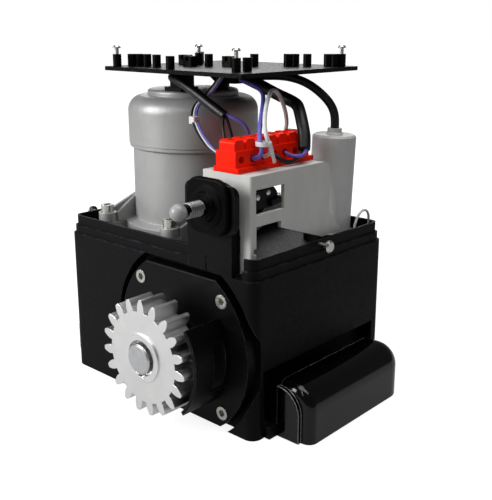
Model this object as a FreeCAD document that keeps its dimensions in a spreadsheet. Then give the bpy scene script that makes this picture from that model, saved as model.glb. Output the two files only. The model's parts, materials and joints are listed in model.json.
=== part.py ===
import FreeCAD, Part
import math
import os
import re
import Sketcher

# Rack-drive motor for a sliding gate, shown with its cover off.
# X runs along the gate, -Y points at the rack, Z is up; the origin is the middle of the foot plane.

SIZES = {
    # gearbox housing: a deep tub whose front wall carries the gear train
    "housing_width": 201.5,
    "housing_depth": 154,
    "body_top": 115.6,
    "step_top": 122,
    "rim_top": 130,
    "step_inset": 1.5,
    "rim_inset": 3,
    "rim_wall": 2,
    "corner_radius": 8,
    "deck_top": 117,
    "bay_depth": 10,
    "bay_top": 50,
    "bay_front": 66,
    "bay_rear": 65,
    # raised block that backs the limit switch, and the slot beside it
    "block_left": 39,
    "block_right": 81,
    "block_top": 148.5,
    "block_depth": 7.7,
    "slot_right": 89,
    "notch_at": 57,
    "notch_width": 1.2,
    "notch_top": 127,
    # feet
    "lug_thickness": 9,
    "lug_inset": 8.7,
    "lug_front": 48,
    "lug_rear": 56,
    "foundation_inset": 9,
    "foundation_front": 35,
    "foundation_rear": 43,
    "foundation_radius": 5.5,
    "foot_inner": 105,
    "foot_outer": 132.7,
    "foot_front": 57.2,
    "foot_rear": 65.1,
    "foot_top": 41,
    "foot_wall": 2.5,
    "foot_round": 18,
    "foot_corner": 7,
    "nose_inset": 8.5,
    "nose_drop": 3,
    "nose_length": 3,
    # gear train
    "wheel_module": 3,
    "wheel_teeth": 31,
    "wheel_width": 22,
    "worm_pitch_radius": 18,
    "worm_length": 60,
    "backlash": 0.3,
    "gear_height": 56,
    "chamber_radius": 52,
    "chamber_rear": 18,
    "worm_bore": 23,
    # front flange, its bolts and the guard round the pinion
    "recess_radius": 71.5,
    "recess_depth": 8,
    "flange_radius": 66,
    "flange_thickness": 10.1,
    "flange_top": 111.7,
    "flange_bottom": 2.5,
    "flange_edge": 1.5,
    "flange_hub": 32,
    "flange_hub_depth": 33,
    "flange_bolt_offset": 41.65,
    "guard_radius": 45.6,
    "guard_wall": 2.8,
    "guard_depth": 31,
    "guard_strip": 17,
    "guard_upper_angle": 37,
    "guard_lower_angle": 44.5,
    "guard_window_low": 36,
    "guard_window_high": 72,
    "guard_foot": 3,
    # pinion
    "pinion_module": 4,
    "pinion_teeth": 19,
    "pinion_width": 21,
    "pinion_front": 115.4,
    "pinion_turn": 71.62,
    "pinion_ring": 17.5,
    "pinion_ring_height": 1.2,
    "pinion_recess": 13,
    "pinion_recess_depth": 4,
    # output shaft and its bearings
    "shaft_end_radius": 11,
    "shaft_end_proud": 4,
    "shaft_radius": 12.5,
    "wheel_seat_radius": 14,
    "shaft_collar": 17,
    "output_bearing_radius": 26,
    "output_bearing_width": 15,
    "seal_radius": 21,
    "seal_width": 7,
    "key_width": 6,
    "key_height": 6,
    # motor
    "motor_axis_x": -33,
    "plinth_top": 120,
    "plinth_radius": 55,
    "casing_radius": 48.6,
    "casing_wall": 3.8,
    "casing_plate_radius": 57,
    "casing_plate_top": 126.5,
    "seam_height": 189,
    "seam_flange": 2.5,
    "seam_inset": 0.6,
    "cap_radius": 51.7,
    "cap_top": 226,
    "cap_round": 12,
    "cap_wall": 4,
    "cap_boss_radius": 36,
    "cap_boss_top": 230.5,
    "ear_x": 36.75,
    "ear_y": 61.7,
    "ear_top": 134.5,
    "ear_radius": 7,
    "gusset_thickness": 2.5,
    "gusset_top": 147,
    "lower_bearing_radius": 20,
    "lower_bearing_width": 12,
    "upper_bearing_radius": 16,
    "upper_bearing_width": 10,
    "tail_bearing_radius": 17.5,
    "tail_bearing_width": 11,
    "tail_bearing_seat": 10,
    "motor_shaft_radius": 8.5,
    "worm_shaft_radius": 7.5,
    "rotor_seat_radius": 9.5,
    "rotor_tail_radius": 6,
    "stator_low": 142,
    "stator_high": 182,
    "air_gap": 0.5,
    "stator_bore": 30,
    "winding_height": 11,
    # M6 socket-head screws
    "screw_radius": 3,
    "screw_head_radius": 5,
    "screw_head_height": 6,
    "screw_length": 20,
    "hex_across": 5,
    "head_proud": 0.6,
    # circuit board carrier on its two supports
    "carrier_width": 144.4,
    "carrier_depth": 130.6,
    "carrier_x": 4.5,
    "carrier_y": 4.5,
    "carrier_bottom": 245.7,
    "carrier_thickness": 3,
    "carrier_corner": 2.5,
    "post_radius": 3.2,
    "post_height": 9,
    "post_screw_radius": 1.4,
    "post_screw_proud": 4.5,
    "post_screw_head": 3,
    "post_screw_head_height": 2,
    "clip_length": 9,
    "clip_depth": 7,
    "clip_rise": 7.5,
    "support_left": -27,
    "support_right": -13,
    "support_y": -24,
    "support_depth": 12,
    "pillar_x": -9,
    "pillar_y": 8,
    "pillar_radius": 6,
    "pillar_crown": 12.5,
    "pillar_flare": 9,
    "grommet_left": 4,
    "grommet_right": 20,
    "grommet_front": 8,
    "grommet_rear": 19,
    "grommet_drop": 9,
    # switch bracket
    "bracket_left": 47,
    "bracket_right": 91,
    "bracket_front": 69,
    "bracket_rear": 17,
    "bracket_top": 184.5,
    "bracket_wall": 3,
    "bracket_corner": 8,
    "bracket_edge": 2,
    "column_width": 9.5,
    "leg_depth": 5.5,
    "window_front": 64,
    "window_rear": 35,
    "window_low": 158,
    "window_high": 175,
    # spring-lever limit switch
    "lever_x": 66,
    "lever_z": 164,
    "lever_pivot": 62.5,
    "pivot_radius": 1.25,
    "pin_reach": 15.5,
    "rocker_half": 9,
    "rocker_thickness": 5,
    "rocker_height": 8,
    "rod_radius": 2,
    "spring_radius": 5.5,
    "spring_wire": 1.2,
    "spring_start": 90.6,
    "spring_end": 104,
    "ball_radius": 5.75,
    "ball_at": 110,
    "switch_hole": 12,
    "plate_width": 46.5,
    "plate_height": 32.5,
    "plate_z": 162.75,
    "plate_thickness": 5.1,
    "plate_corner": 6,
    "plate_hub": 14,
    "boot_side": 38,
    "boot_corner": 11,
    "boot_rise": 3.5,
    "boot_collar": 9.5,
    "boot_nose_at": 88,
    "boot_edge": 1.5,
    "microswitch_width": 10.3,
    "microswitch_length": 27.8,
    "microswitch_height": 15.9,
    "microswitch_front": 57,
    "microswitch_pitch": 11,
    "plunger_radius": 1.2,
    "plunger_tip": 0.8,
    "plunger_proud": 2.55,
    # terminal block
    "block_x": 68.5,
    "terminal_width": 23,
    "terminal_front": 69,
    "terminal_rear": 11,
    "terminal_base_top": 188,
    "terminal_body_top": 199,
    "terminal_count": 7,
    "terminal_pitch": 11.2,
    "terminal_bore": 2.6,
    "terminal_bore_depth": 7,
    "tower_width": 9,
    "tower_corner": 2.4,
    "tower_top": 206,
    "clamp_depth": 6,
    "clamp_screw": 2.5,
    "clamp_screw_height": 2.9,
    # capacitor
    "capacitor_inset": 25.75,
    "capacitor_y": 45,
    "capacitor_radius": 16.7,
    "capacitor_bottom": 117.6,
    "capacitor_top": 199,
    "capacitor_lean": 2,
    "gland_radius": 5.5,
    "gland_height": 4.5,
    "clip_wall": 2,
    "clip_height": 7,
    # screws left standing in the rim
    "rim_screw_radius": 2,
    "rim_screw_head": 4.5,
    "rim_screw_proud": 8,
    "rim_screw_z": 126.8,
    "rim_screw_right_y": -3,
    "rim_screw_left_y": -49,
    # clearances
    "fit": 0.05,
    "seat": 0.1,
    "gap": 0.3,
}

doc = FreeCAD.newDocument("SlidingGateMotor")
sheet = doc.addObject("Spreadsheet::Sheet", "Sizes")
for row, (name, size) in enumerate(SIZES.items(), 1):
    sheet.set(f"A{row}", name)
    sheet.set(f"B{row}", str(size))
    sheet.setAlias(f"B{row}", name)
doc.recompute()

# Places that follow from the sizes, written as expressions of the sheet.
GEAR_X = "(motor_axis_x + worm_pitch_radius + wheel_module*wheel_teeth/2)"
HALF_WIDTH = "(housing_width/2)"
HALF_DEPTH = "(housing_depth/2)"
FLANGE_SEAT = "(-housing_depth/2 + recess_depth)"
FLANGE_FACE = f"({FLANGE_SEAT} - flange_thickness)"
PINION_FACE = "(-pinion_front)"
PINION_BACK = "(-pinion_front + pinion_width)"
CARRIER_TOP = "(carrier_bottom + carrier_thickness)"
RIM_SIDE = "(housing_width/2 - rim_inset)"
LUG_REACH = "(foot_outer - lug_inset)"
FOUNDATION_X = f"({LUG_REACH} - foundation_inset)"
NOSE_OUTER = "(foot_outer - nose_inset)"
NOSE_TOP = "(foot_top - nose_drop)"
FOOT_ROUND = "(min(foot_round; (foot_outer - foot_inner)*0.65))"
CASING_BORE = "(casing_radius - casing_wall)"
CAP_BORE = "(cap_radius - cap_wall)"
PLATE_BACK = "(-housing_depth/2 - seat)"
PLATE_FRONT = f"({PLATE_BACK} - plate_thickness)"
CAPACITOR_X = f"({RIM_SIDE} - rim_wall - capacitor_inset)"

sub_parts = {}


def bound(text):
    """Turn each size's name in an expression into a reference to the sheet."""
    return re.sub(r"[a-z_]+", lambda word: f"Sizes.{word[0]}" if word[0] in SIZES else word[0], str(text))


def number(text):
    """Value of an expression of the sheet's sizes."""
    return float(sheet.evalExpression(bound(text)))


def new_body(label):
    body = doc.addObject("PartDesign::Body", label)
    body.Label = label
    body.AllowCompound = True
    sub_parts[label] = body
    return body


def place(item, x="0", y="0", z="0"):
    for axis, text in zip("xyz", (x, y, z)):
        item.setExpression(f".Placement.Base.{axis}", bound(text))


def new_sketch(body, role, level):
    """Sketch parallel to one of the body's own planes, at a level along that plane's axis."""
    sketch = body.newObject("Sketcher::SketchObject", f"{body.Name}_sketch")
    plane = next(item for item in body.Origin.OriginFeatures if item.Role == role)
    sketch.AttachmentSupport = [(plane, "")]
    sketch.MapMode = "FlatFace"
    sign = "-" if role == "XZ_Plane" else ""
    sketch.setExpression(".AttachmentOffset.Base.z", bound(f"{sign}({level})"))
    return sketch


def fix_point(sketch, geometry, corner, x, y):
    """Hold a sketch point at two coordinates given as expressions."""
    for kind, text in (("DistanceX", x), ("DistanceY", y)):
        index = sketch.addConstraint(Sketcher.Constraint(kind, geometry, corner, number(text)))
        sketch.setExpression(f"Constraints[{index}]", bound(text))


def fix_radius(sketch, geometry, radius):
    index = sketch.addConstraint(Sketcher.Constraint("Radius", geometry, number(radius)))
    sketch.setExpression(f"Constraints[{index}]", bound(radius))


def outline(*points):
    """Closed outline with straight sides through (x, y) pairs."""
    def draw(sketch):
        corners = [FreeCAD.Vector(number(x), number(y), 0) for x, y in points]
        first = sketch.GeometryCount
        count = len(points)
        for index, corner in enumerate(corners):
            sketch.addGeometry(Part.LineSegment(corner, corners[(index + 1) % count]), False)
        for index, (x, y) in enumerate(points):
            following = first + (index + 1) % count
            sketch.addConstraint(Sketcher.Constraint("Coincident", first + index, 2, following, 1))
            fix_point(sketch, first + index, 1, x, y)
    return draw


def rectangle(left, right, low, high):
    return outline((left, low), (right, low), (right, high), (left, high))


def centred(width, height, x="0", y="0"):
    return rectangle(f"{x} - {width}/2", f"{x} + {width}/2", f"{y} - {height}/2", f"{y} + {height}/2")


def rounded_rectangle(left, right, low, high, radius):
    """Rectangle whose corners are arcs tangent to its sides."""
    centres = [(f"{right} - {radius}", f"{low} + {radius}"), (f"{right} - {radius}", f"{high} - {radius}"),
               (f"{left} + {radius}", f"{high} - {radius}"), (f"{left} + {radius}", f"{low} + {radius}")]
    def draw(sketch):
        reach = number(radius)
        rings = [FreeCAD.Vector(number(x), number(y), 0) for x, y in centres]
        arcs = []
        for index, centre in enumerate(rings):
            start = (index - 1) * math.pi / 2
            ring = Part.Circle(centre, FreeCAD.Vector(0, 0, 1), reach)
            arcs.append(sketch.addGeometry(Part.ArcOfCircle(ring, start, start + math.pi / 2), False))
        for index, arc in enumerate(arcs):
            following = arcs[(index + 1) % 4]
            side = sketch.addGeometry(Part.LineSegment(sketch.getPoint(arc, 2), sketch.getPoint(following, 1)))
            sketch.addConstraint(Sketcher.Constraint("Tangent", arc, 2, side, 1))
            sketch.addConstraint(Sketcher.Constraint("Tangent", side, 2, following, 1))
            sketch.addConstraint(Sketcher.Constraint("Vertical" if index % 2 == 0 else "Horizontal", side))
            kind, text = (("DistanceX", right), ("DistanceY", high), ("DistanceX", left), ("DistanceY", low))[index]
            number_at = sketch.addConstraint(Sketcher.Constraint(kind, side, 1, number(text)))
            sketch.setExpression(f"Constraints[{number_at}]", bound(text))
            fix_radius(sketch, arc, radius)
    return draw


def circle(x, y, radius):
    def draw(sketch):
        centre = FreeCAD.Vector(number(x), number(y), 0)
        ring = Part.Circle(centre, FreeCAD.Vector(0, 0, 1), number(radius))
        index = sketch.addGeometry(ring, False)
        fix_point(sketch, index, 3, x, y)
        fix_radius(sketch, index, radius)
    return draw


def hexagon(x, y, across):
    """Hexagon given by its width across flats."""
    reach = f"({across}/2/cos(30))"
    turns = [60 * side for side in range(6)]
    return outline(*((f"{x} + {reach}*cos({turn})", f"{y} + {reach}*sin({turn})") for turn in turns))


def clipped_circle(x, y, radius, top):
    """Circle cut off by a level chord above its centre."""
    def draw(sketch):
        centre = FreeCAD.Vector(number(x), number(y), 0)
        reach = number(radius)
        lift = math.asin((number(top) - centre.y) / reach)
        ring = Part.Circle(centre, FreeCAD.Vector(0, 0, 1), reach)
        arc = sketch.addGeometry(Part.ArcOfCircle(ring, math.pi - lift, 2 * math.pi + lift), False)
        ends = [FreeCAD.Vector(centre.x + side * reach * math.cos(lift), number(top), 0) for side in (1, -1)]
        chord = sketch.addGeometry(Part.LineSegment(*ends), False)
        sketch.addConstraint(Sketcher.Constraint("Coincident", arc, 2, chord, 1))
        sketch.addConstraint(Sketcher.Constraint("Coincident", chord, 2, arc, 1))
        fix_point(sketch, arc, 3, x, y)
        fix_radius(sketch, arc, radius)
        for corner in (1, 2):
            index = sketch.addConstraint(Sketcher.Constraint("DistanceY", chord, corner, number(top)))
            sketch.setExpression(f"Constraints[{index}]", bound(top))
    return draw


def add(body, role, low, high, *drawings, kind="PartDesign::Pad"):
    """Extrude outlines from one level to another along the plane's axis."""
    sketch = new_sketch(body, role, high if role == "XZ_Plane" else low)
    for draw in drawings:
        draw(sketch)
    feature = body.newObject(kind, f"{body.Name}_step")
    feature.Profile = sketch
    feature.setExpression("Length", bound(f"({high}) - ({low})"))
    return feature


def remove(body, role, low, high, *drawings):
    """Cut outlines away between two levels, and make sure that something went."""
    doc.recompute()
    before = body.Shape.Volume
    feature = add(body, role, low, high, *drawings, kind="PartDesign::Pocket")
    feature.Reversed = True
    doc.recompute()
    if not body.Shape.Volume < before:
        raise RuntimeError(f"{body.Label}: a pocket cuts nothing")


def turn(body, role, axis, *points, kind="PartDesign::Revolution"):
    """Revolve a profile of (x, y) pairs about one of its sketch's axes."""
    sketch = new_sketch(body, role, "0")
    outline(*points)(sketch)
    feature = body.newObject(kind, f"{body.Name}_turned")
    feature.Profile = sketch
    feature.ReferenceAxis = (sketch, [axis])
    feature.Angle = 360
    return feature


def turn_upright(body, *points):
    """Revolve a profile of (radius, z) pairs about the upright axis."""
    return turn(body, "XZ_Plane", "V_Axis", *points)


def turn_level(body, *points):
    """Revolve a profile of (y, radius) pairs about the axis that faces the rack."""
    return turn(body, "YZ_Plane", "H_Axis", *points)


def dress(body, kind, size, pick):
    """Round or bevel the edges of a body that pick chooses."""
    doc.recompute()
    base = body.Tip
    names = [f"Edge{index}" for index, edge in enumerate(base.Shape.Edges, 1) if pick(edge)]
    if not names:
        raise RuntimeError(f"{body.Label}: no edge to dress")
    feature = body.newObject(f"PartDesign::{kind}", f"{body.Name}_{kind.lower()}")
    feature.Base = (base, names)
    feature.setExpression("Radius" if kind == "Fillet" else "Size", bound(size))


def near(value, text, slack=0.01):
    return abs(value - number(text)) < slack


def runs_along(edge, axis):
    box = edge.BoundBox
    spans = {"x": box.XLength, "y": box.YLength, "z": box.ZLength}
    others = [span for name, span in spans.items() if name != axis]
    return spans[axis] > 0.5 and max(others) < 1e-4


def round_hole_edge(edge, radius):
    """Whether an edge is a full circle of the given radius."""
    curve = edge.Curve
    return isinstance(curve, Part.Circle) and edge.isClosed() and near(curve.Radius, radius)


def new_feature(label, shape):
    """Sub-part whose shape is worked out in code from the sheet's sizes."""
    feature = doc.addObject("Part::Feature", label)
    feature.Label = label
    feature.Shape = shape
    sub_parts[label] = feature
    return feature


# ---------------------------------------------------------------- housing and feet
def storey(inset):
    """Outline of one storey of the tub, set in from the lowest one."""
    return rounded_rectangle(f"-{HALF_WIDTH} + {inset}", f"{HALF_WIDTH} - {inset}",
                             f"-{HALF_DEPTH} + {inset}", f"{HALF_DEPTH} - {inset}",
                             f"(corner_radius - {inset}/2)")


def ear_places():
    return [(f"({x}*ear_x)", f"({y}*ear_y)") for x in (-1, 1) for y in (-1, 1)]


def flange_bolt_places():
    return [(f"{GEAR_X} + {x}*flange_bolt_offset", f"gear_height + {z}*flange_bolt_offset")
            for x in (-1, 1) for z in (-1, 1)]


def make_housing():
    housing = new_body("gearbox_housing")
    add(housing, "XY_Plane", "0", "body_top", storey("0"))
    add(housing, "XY_Plane", "body_top", "step_top", storey("step_inset"))
    add(housing, "XY_Plane", "step_top", "rim_top", storey("rim_inset"))
    inside = "(rim_inset + rim_wall)"
    remove(housing, "XY_Plane", "deck_top", "rim_top", storey(inside))
    # plinth and bosses that the motor is bolted to
    bosses = [circle(f"motor_axis_x + {x}", y, "ear_radius + 1") for x, y in ear_places()]
    add(housing, "XY_Plane", "deck_top", "plinth_top", circle("motor_axis_x", "0", "plinth_radius"))
    add(housing, "XY_Plane", "deck_top", "plinth_top", *bosses)
    # block behind the limit switch
    add(housing, "XY_Plane", "body_top", "block_top",
        rectangle("block_left", "block_right", f"-{HALF_DEPTH}", f"-{HALF_DEPTH} + block_depth"))
    remove(housing, "XY_Plane", "body_top", "rim_top",
           rectangle("block_right", "slot_right", f"-{HALF_DEPTH} - gap", f"-{HALF_DEPTH} + {inside} + gap"))
    remove(housing, "XY_Plane", "body_top", "notch_top",
           centred("notch_width", "notch_width", "notch_at", f"-{HALF_DEPTH}"))
    # recess of the front flange, gear chamber, worm well and bearing seats
    remove(housing, "XZ_Plane", f"-{HALF_DEPTH} - gap", FLANGE_SEAT,
           clipped_circle(GEAR_X, "gear_height", "recess_radius", "body_top"))
    remove(housing, "XZ_Plane", FLANGE_SEAT, "chamber_rear",
           circle(GEAR_X, "gear_height", "chamber_radius"))
    remove(housing, "XZ_Plane", "chamber_rear", "chamber_rear + output_bearing_width",
           circle(GEAR_X, "gear_height", "output_bearing_radius + fit"))
    well_floor = "(tail_bearing_seat + tail_bearing_width)"
    remove(housing, "XY_Plane", well_floor, "plinth_top", circle("motor_axis_x", "0", "worm_bore"))
    remove(housing, "XY_Plane", "tail_bearing_seat", well_floor,
           circle("motor_axis_x", "0", "tail_bearing_radius + fit"))
    # screw holes
    remove(housing, "XY_Plane", "plinth_top - screw_length", "plinth_top",
           *(circle(f"motor_axis_x + {x}", y, "screw_radius + fit") for x, y in ear_places()))
    remove(housing, "XZ_Plane", FLANGE_SEAT, f"{FLANGE_SEAT} + screw_length",
           *(circle(x, z, "screw_radius + fit") for x, z in flange_bolt_places()))
    remove(housing, "YZ_Plane", f"{RIM_SIDE} - rim_wall - gap", f"{RIM_SIDE} + gap",
           circle("rim_screw_right_y", "rim_screw_z", "rim_screw_radius + fit"))
    remove(housing, "YZ_Plane", f"-{RIM_SIDE} - gap", f"-{RIM_SIDE} + rim_wall + gap",
           circle("rim_screw_left_y", "rim_screw_z", "rim_screw_radius + fit"))
    # bays in both sides, with the fixing lugs that stand in them
    for side in (1, -1):
        wall = f"({side}*{HALF_WIDTH})"
        edges = sorted((f"{wall} - {side}*bay_depth", f"{wall} + {side}*gap"), key=number)
        remove(housing, "XY_Plane", "-gap", "bay_top",
               rectangle(edges[0], edges[1], "-bay_front", "bay_rear"))
        edges = sorted((f"{wall} - {side}*(bay_depth + 1)", f"{side}*{LUG_REACH}"), key=number)
        add(housing, "XY_Plane", "0", "lug_thickness",
            rectangle(edges[0], edges[1], "-lug_front", "lug_rear"))
        remove(housing, "XY_Plane", "-gap", "lug_thickness + gap",
               circle(f"{side}*{FOUNDATION_X}", "-foundation_front", "foundation_radius"),
               circle(f"{side}*{FOUNDATION_X}", "foundation_rear", "foundation_radius"))


def arched(side, inner, outer, top, radius):
    """Upright outline whose top corner on the outer side is rounded."""
    def draw(sketch):
        near_x, far_x = number(f"{side}*{inner}"), number(f"{side}*{outer}")
        height, reach = number(top), number(radius)
        bend = FreeCAD.Vector(far_x - side * reach, height - reach, 0)
        corners = [FreeCAD.Vector(near_x, height, 0), FreeCAD.Vector(near_x, 0, 0), FreeCAD.Vector(far_x, 0, 0),
                   FreeCAD.Vector(far_x, height - reach, 0)]
        sides = [sketch.addGeometry(Part.LineSegment(*ends)) for ends in zip(corners, corners[1:])]
        crown = sketch.addGeometry(Part.LineSegment(FreeCAD.Vector(bend.x, height, 0), corners[0]))
        ring = Part.Circle(bend, FreeCAD.Vector(0, 0, 1), reach)
        start = 0 if side > 0 else math.pi / 2
        arc = sketch.addGeometry(Part.ArcOfCircle(ring, start, start + math.pi / 2))
        low_end, high_end = (1, 2) if side > 0 else (2, 1)
        joints = (("Coincident", crown, 2, sides[0], 1), ("Coincident", sides[0], 2, sides[1], 1),
                  ("Coincident", sides[1], 2, sides[2], 1), ("Tangent", sides[2], 2, arc, low_end),
                  ("Tangent", arc, high_end, crown, 1), ("Vertical", sides[0]), ("Vertical", sides[2]),
                  ("Horizontal", crown))
        for joint in joints:
            sketch.addConstraint(Sketcher.Constraint(*joint))
        fix_point(sketch, sides[0], 2, f"{side}*{inner}", "0")
        fix_point(sketch, sides[1], 2, f"{side}*{outer}", "0")
        fix_radius(sketch, arc, radius)
        index = sketch.addConstraint(Sketcher.Constraint("DistanceY", sides[0], 1, height))
        sketch.setExpression(f"Constraints[{index}]", bound(top))
    return draw


def make_foot_cover(label, side):
    """Moulded cap over a fixing lug: a rounded body with a thin arched end plate in front."""
    cover = new_body(label)

    def across(a, b, low, high):
        edges = sorted((f"{side}*({a})", f"{side}*({b})"), key=number)
        return rectangle(edges[0], edges[1], low, high)
    front = "(-foot_front + nose_length)"
    add(cover, "XZ_Plane", front, "foot_rear", across("foot_inner", "foot_outer", "0", "foot_top"))

    def outer_edge(edge):
        """Crest, rear upright and rear crown: the three edges of the outer rear corner."""
        middle = edge.CenterOfMass
        on_outer = near(abs(middle.x), "foot_outer")
        on_rear = near(middle.y, "foot_rear")
        on_top = near(middle.z, "foot_top")
        return on_outer + on_rear + on_top == 2
    dress(cover, "Fillet", FOOT_ROUND, outer_edge)

    def front_edge(edge):
        """Front upright, arched corner and crown, where the body turns into its end."""
        box = edge.BoundBox
        flat = near(box.YMin, front) and near(box.YMax, front)
        return flat and box.ZMax > number("foot_top/2") and abs(edge.CenterOfMass.x) > number("foot_inner + 1")
    dress(cover, "Fillet", "foot_corner", front_edge)
    add(cover, "XZ_Plane", "-foot_front", front,
        arched(side, "foot_inner", NOSE_OUTER, NOSE_TOP, FOOT_ROUND))
    # hollow, open below
    inner = "(foot_inner + foot_wall)"
    ceiling = f"({NOSE_TOP} - foot_wall)"
    outer = f"({NOSE_OUTER} + nose_inset/2 - foot_wall)"
    bevel = f"(({outer} - {inner})*4/7)"
    points = [(inner, "0"), (inner, ceiling), (f"{outer} - {bevel}", ceiling), (outer, f"{ceiling} - {bevel}"),
              (outer, "0")]
    remove(cover, "XZ_Plane", f"{front} + foot_wall", f"foot_rear - {FOOT_ROUND}/2",
           outline(*((f"{side}*({x})", z) for x, z in points)))
    remove(cover, "XZ_Plane", "-lug_front - gap", "lug_rear + gap",
           across("foot_inner - gap", "foot_inner + foot_wall + gap", "0", "lug_thickness + gap"))


# ---------------------------------------------------------------- flange, guard and screws
def make_flange():
    """Bearing carrier that closes the gear chamber; the shaft comes out through its seal."""
    flange = new_body("front_flange")
    place(flange, GEAR_X, "0", "gear_height")
    add(flange, "XZ_Plane", FLANGE_FACE, FLANGE_SEAT, circle("0", "0", "flange_radius"))
    add(flange, "XZ_Plane", FLANGE_SEAT, f"{FLANGE_SEAT} + flange_hub_depth",
        circle("0", "0", "flange_hub"))
    for low, high in (("flange_top - gear_height", "flange_radius + gap"),
                      ("-flange_radius - gap", "flange_bottom - gear_height")):
        remove(flange, "XZ_Plane", FLANGE_FACE, FLANGE_SEAT,
               rectangle("-flange_radius", "flange_radius", low, high))
    remove(flange, "XZ_Plane", f"{FLANGE_FACE} - gap", f"{FLANGE_FACE} + flange_thickness/3 + seal_width",
           circle("0", "0", "seal_radius + fit"))
    remove(flange, "XZ_Plane", FLANGE_FACE, f"{FLANGE_SEAT} + flange_hub_depth",
           circle("0", "0", "wheel_seat_radius + 2"))
    remove(flange, "XZ_Plane", f"{FLANGE_SEAT} + flange_hub_depth - output_bearing_width",
           f"{FLANGE_SEAT} + flange_hub_depth", circle("0", "0", "output_bearing_radius + fit"))
    offsets = [(f"{x}*flange_bolt_offset", f"{z}*flange_bolt_offset") for x in (-1, 1) for z in (-1, 1)]
    remove(flange, "XZ_Plane", FLANGE_FACE, FLANGE_SEAT,
           *(circle(x, z, "screw_radius + gap") for x, z in offsets))
    remove(flange, "XZ_Plane", f"{FLANGE_FACE} - gap", f"{FLANGE_FACE} - head_proud + screw_head_height",
           *(circle(x, z, "screw_head_radius + gap") for x, z in offsets))
    dress(flange, "Fillet", "flange_edge",
          lambda edge: near(edge.BoundBox.YMin, FLANGE_FACE) and near(edge.BoundBox.YMax, FLANGE_FACE)
          and edge.CenterOfMass.Length > 1 and edge.BoundBox.DiagonalLength > number("flange_radius"))


def make_guard():
    """Curved shroud round the rack side of the pinion, with a window in its back half."""
    guard = new_body("gear_guard")
    place(guard, GEAR_X, "0", "gear_height")
    outer = "(guard_radius + guard_wall)"
    add(guard, "XZ_Plane", f"{FLANGE_FACE} - guard_depth", f"{FLANGE_FACE} - fit",
        circle("0", "0", outer), circle("0", "0", "guard_radius"))
    reach = f"({outer}*2)"
    remove(guard, "XZ_Plane", f"{FLANGE_FACE} - guard_depth - gap", f"{FLANGE_FACE} + gap",
           outline(("0", "0"),
                   (f"{reach}*cos(guard_upper_angle)", f"{reach}*sin(guard_upper_angle)"),
                   ("0", reach), (f"-{reach}", "0"), ("0", f"-{reach}"),
                   (f"{reach}*cos(guard_lower_angle)", f"-{reach}*sin(guard_lower_angle)")))
    remove(guard, "XZ_Plane", f"{FLANGE_FACE} - guard_depth + guard_strip", f"{FLANGE_FACE} - guard_foot",
           rectangle("0", reach, "guard_window_low - gear_height", "guard_window_high - gear_height"))


def make_flange_bolts():
    """Socket-head screws sunk in the flange, their heads just proud of it."""
    bolts = new_body("flange_bolts")
    places = flange_bolt_places()
    head_face = f"({FLANGE_FACE} - head_proud)"
    neck = f"({head_face} + screw_head_height)"
    add(bolts, "XZ_Plane", neck, f"{neck} + screw_length", *(circle(x, z, "screw_radius") for x, z in places))
    add(bolts, "XZ_Plane", head_face, neck, *(circle(x, z, "screw_head_radius") for x, z in places))
    remove(bolts, "XZ_Plane", head_face, f"{head_face} + screw_head_height/2",
           *(hexagon(x, z, "hex_across") for x, z in places))


# ---------------------------------------------------------------- gears
def involute(base_radius, radius):
    """Angle by which an involute has turned when it reaches a radius."""
    tangent = math.sqrt(max((radius / base_radius) ** 2 - 1, 0))
    return tangent - math.atan(tangent)


def polar(radius, angle):
    return FreeCAD.Vector(radius * math.cos(angle), radius * math.sin(angle), 0)


def gear_outline(module, teeth, slack, angle, curved):
    """Involute gear outline; angle points one tooth, slack thins every tooth."""
    pitch_radius = module * teeth / 2
    base_radius = pitch_radius * math.cos(math.radians(20))
    tip = pitch_radius + module
    root = pitch_radius - 1.2 * module
    half = (math.pi * module / 2 - slack) / 2 / pitch_radius + involute(base_radius, pitch_radius)
    start = max(base_radius, root)
    def flank(radius, centre, side):
        return polar(radius, centre + side * (half - involute(base_radius, radius)))
    edges = []
    for tooth in range(teeth):
        centre = angle + 2 * math.pi * tooth / teeth
        following = centre + 2 * math.pi / teeth
        middle = (start + tip) / 2
        foot = [polar(root, centre + side * half) for side in (-1, 1)]
        left = [flank(radius, centre, -1) for radius in (start, middle, tip)]
        right = [flank(radius, centre, 1) for radius in (tip, middle, start)]
        edges.append(Part.LineSegment(foot[0], left[0]).toShape())
        edges.extend(flank_edges(left, curved))
        edges.append(Part.Arc(left[2], polar(tip, centre), right[0]).toShape())
        edges.extend(flank_edges(right, curved))
        edges.append(Part.LineSegment(right[2], foot[1]).toShape())
        valley = polar(root, (centre + following) / 2)
        edges.append(Part.Arc(foot[1], valley, polar(root, following - half)).toShape())
    return Part.Wire(edges)


def flank_edges(points, curved):
    if curved:
        return [Part.Arc(*points).toShape()]
    return [Part.LineSegment(points[0], points[1]).toShape(), Part.LineSegment(points[1], points[2]).toShape()]


def facing_rack(shape, front):
    """Turn a shape built along +Z so that its start faces the rack, at a given Y."""
    shape.rotate(FreeCAD.Vector(0, 0, 0), FreeCAD.Vector(1, 0, 0), -90)
    shape.translate(FreeCAD.Vector(number(GEAR_X), number(front), number("gear_height")))
    return shape


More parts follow.
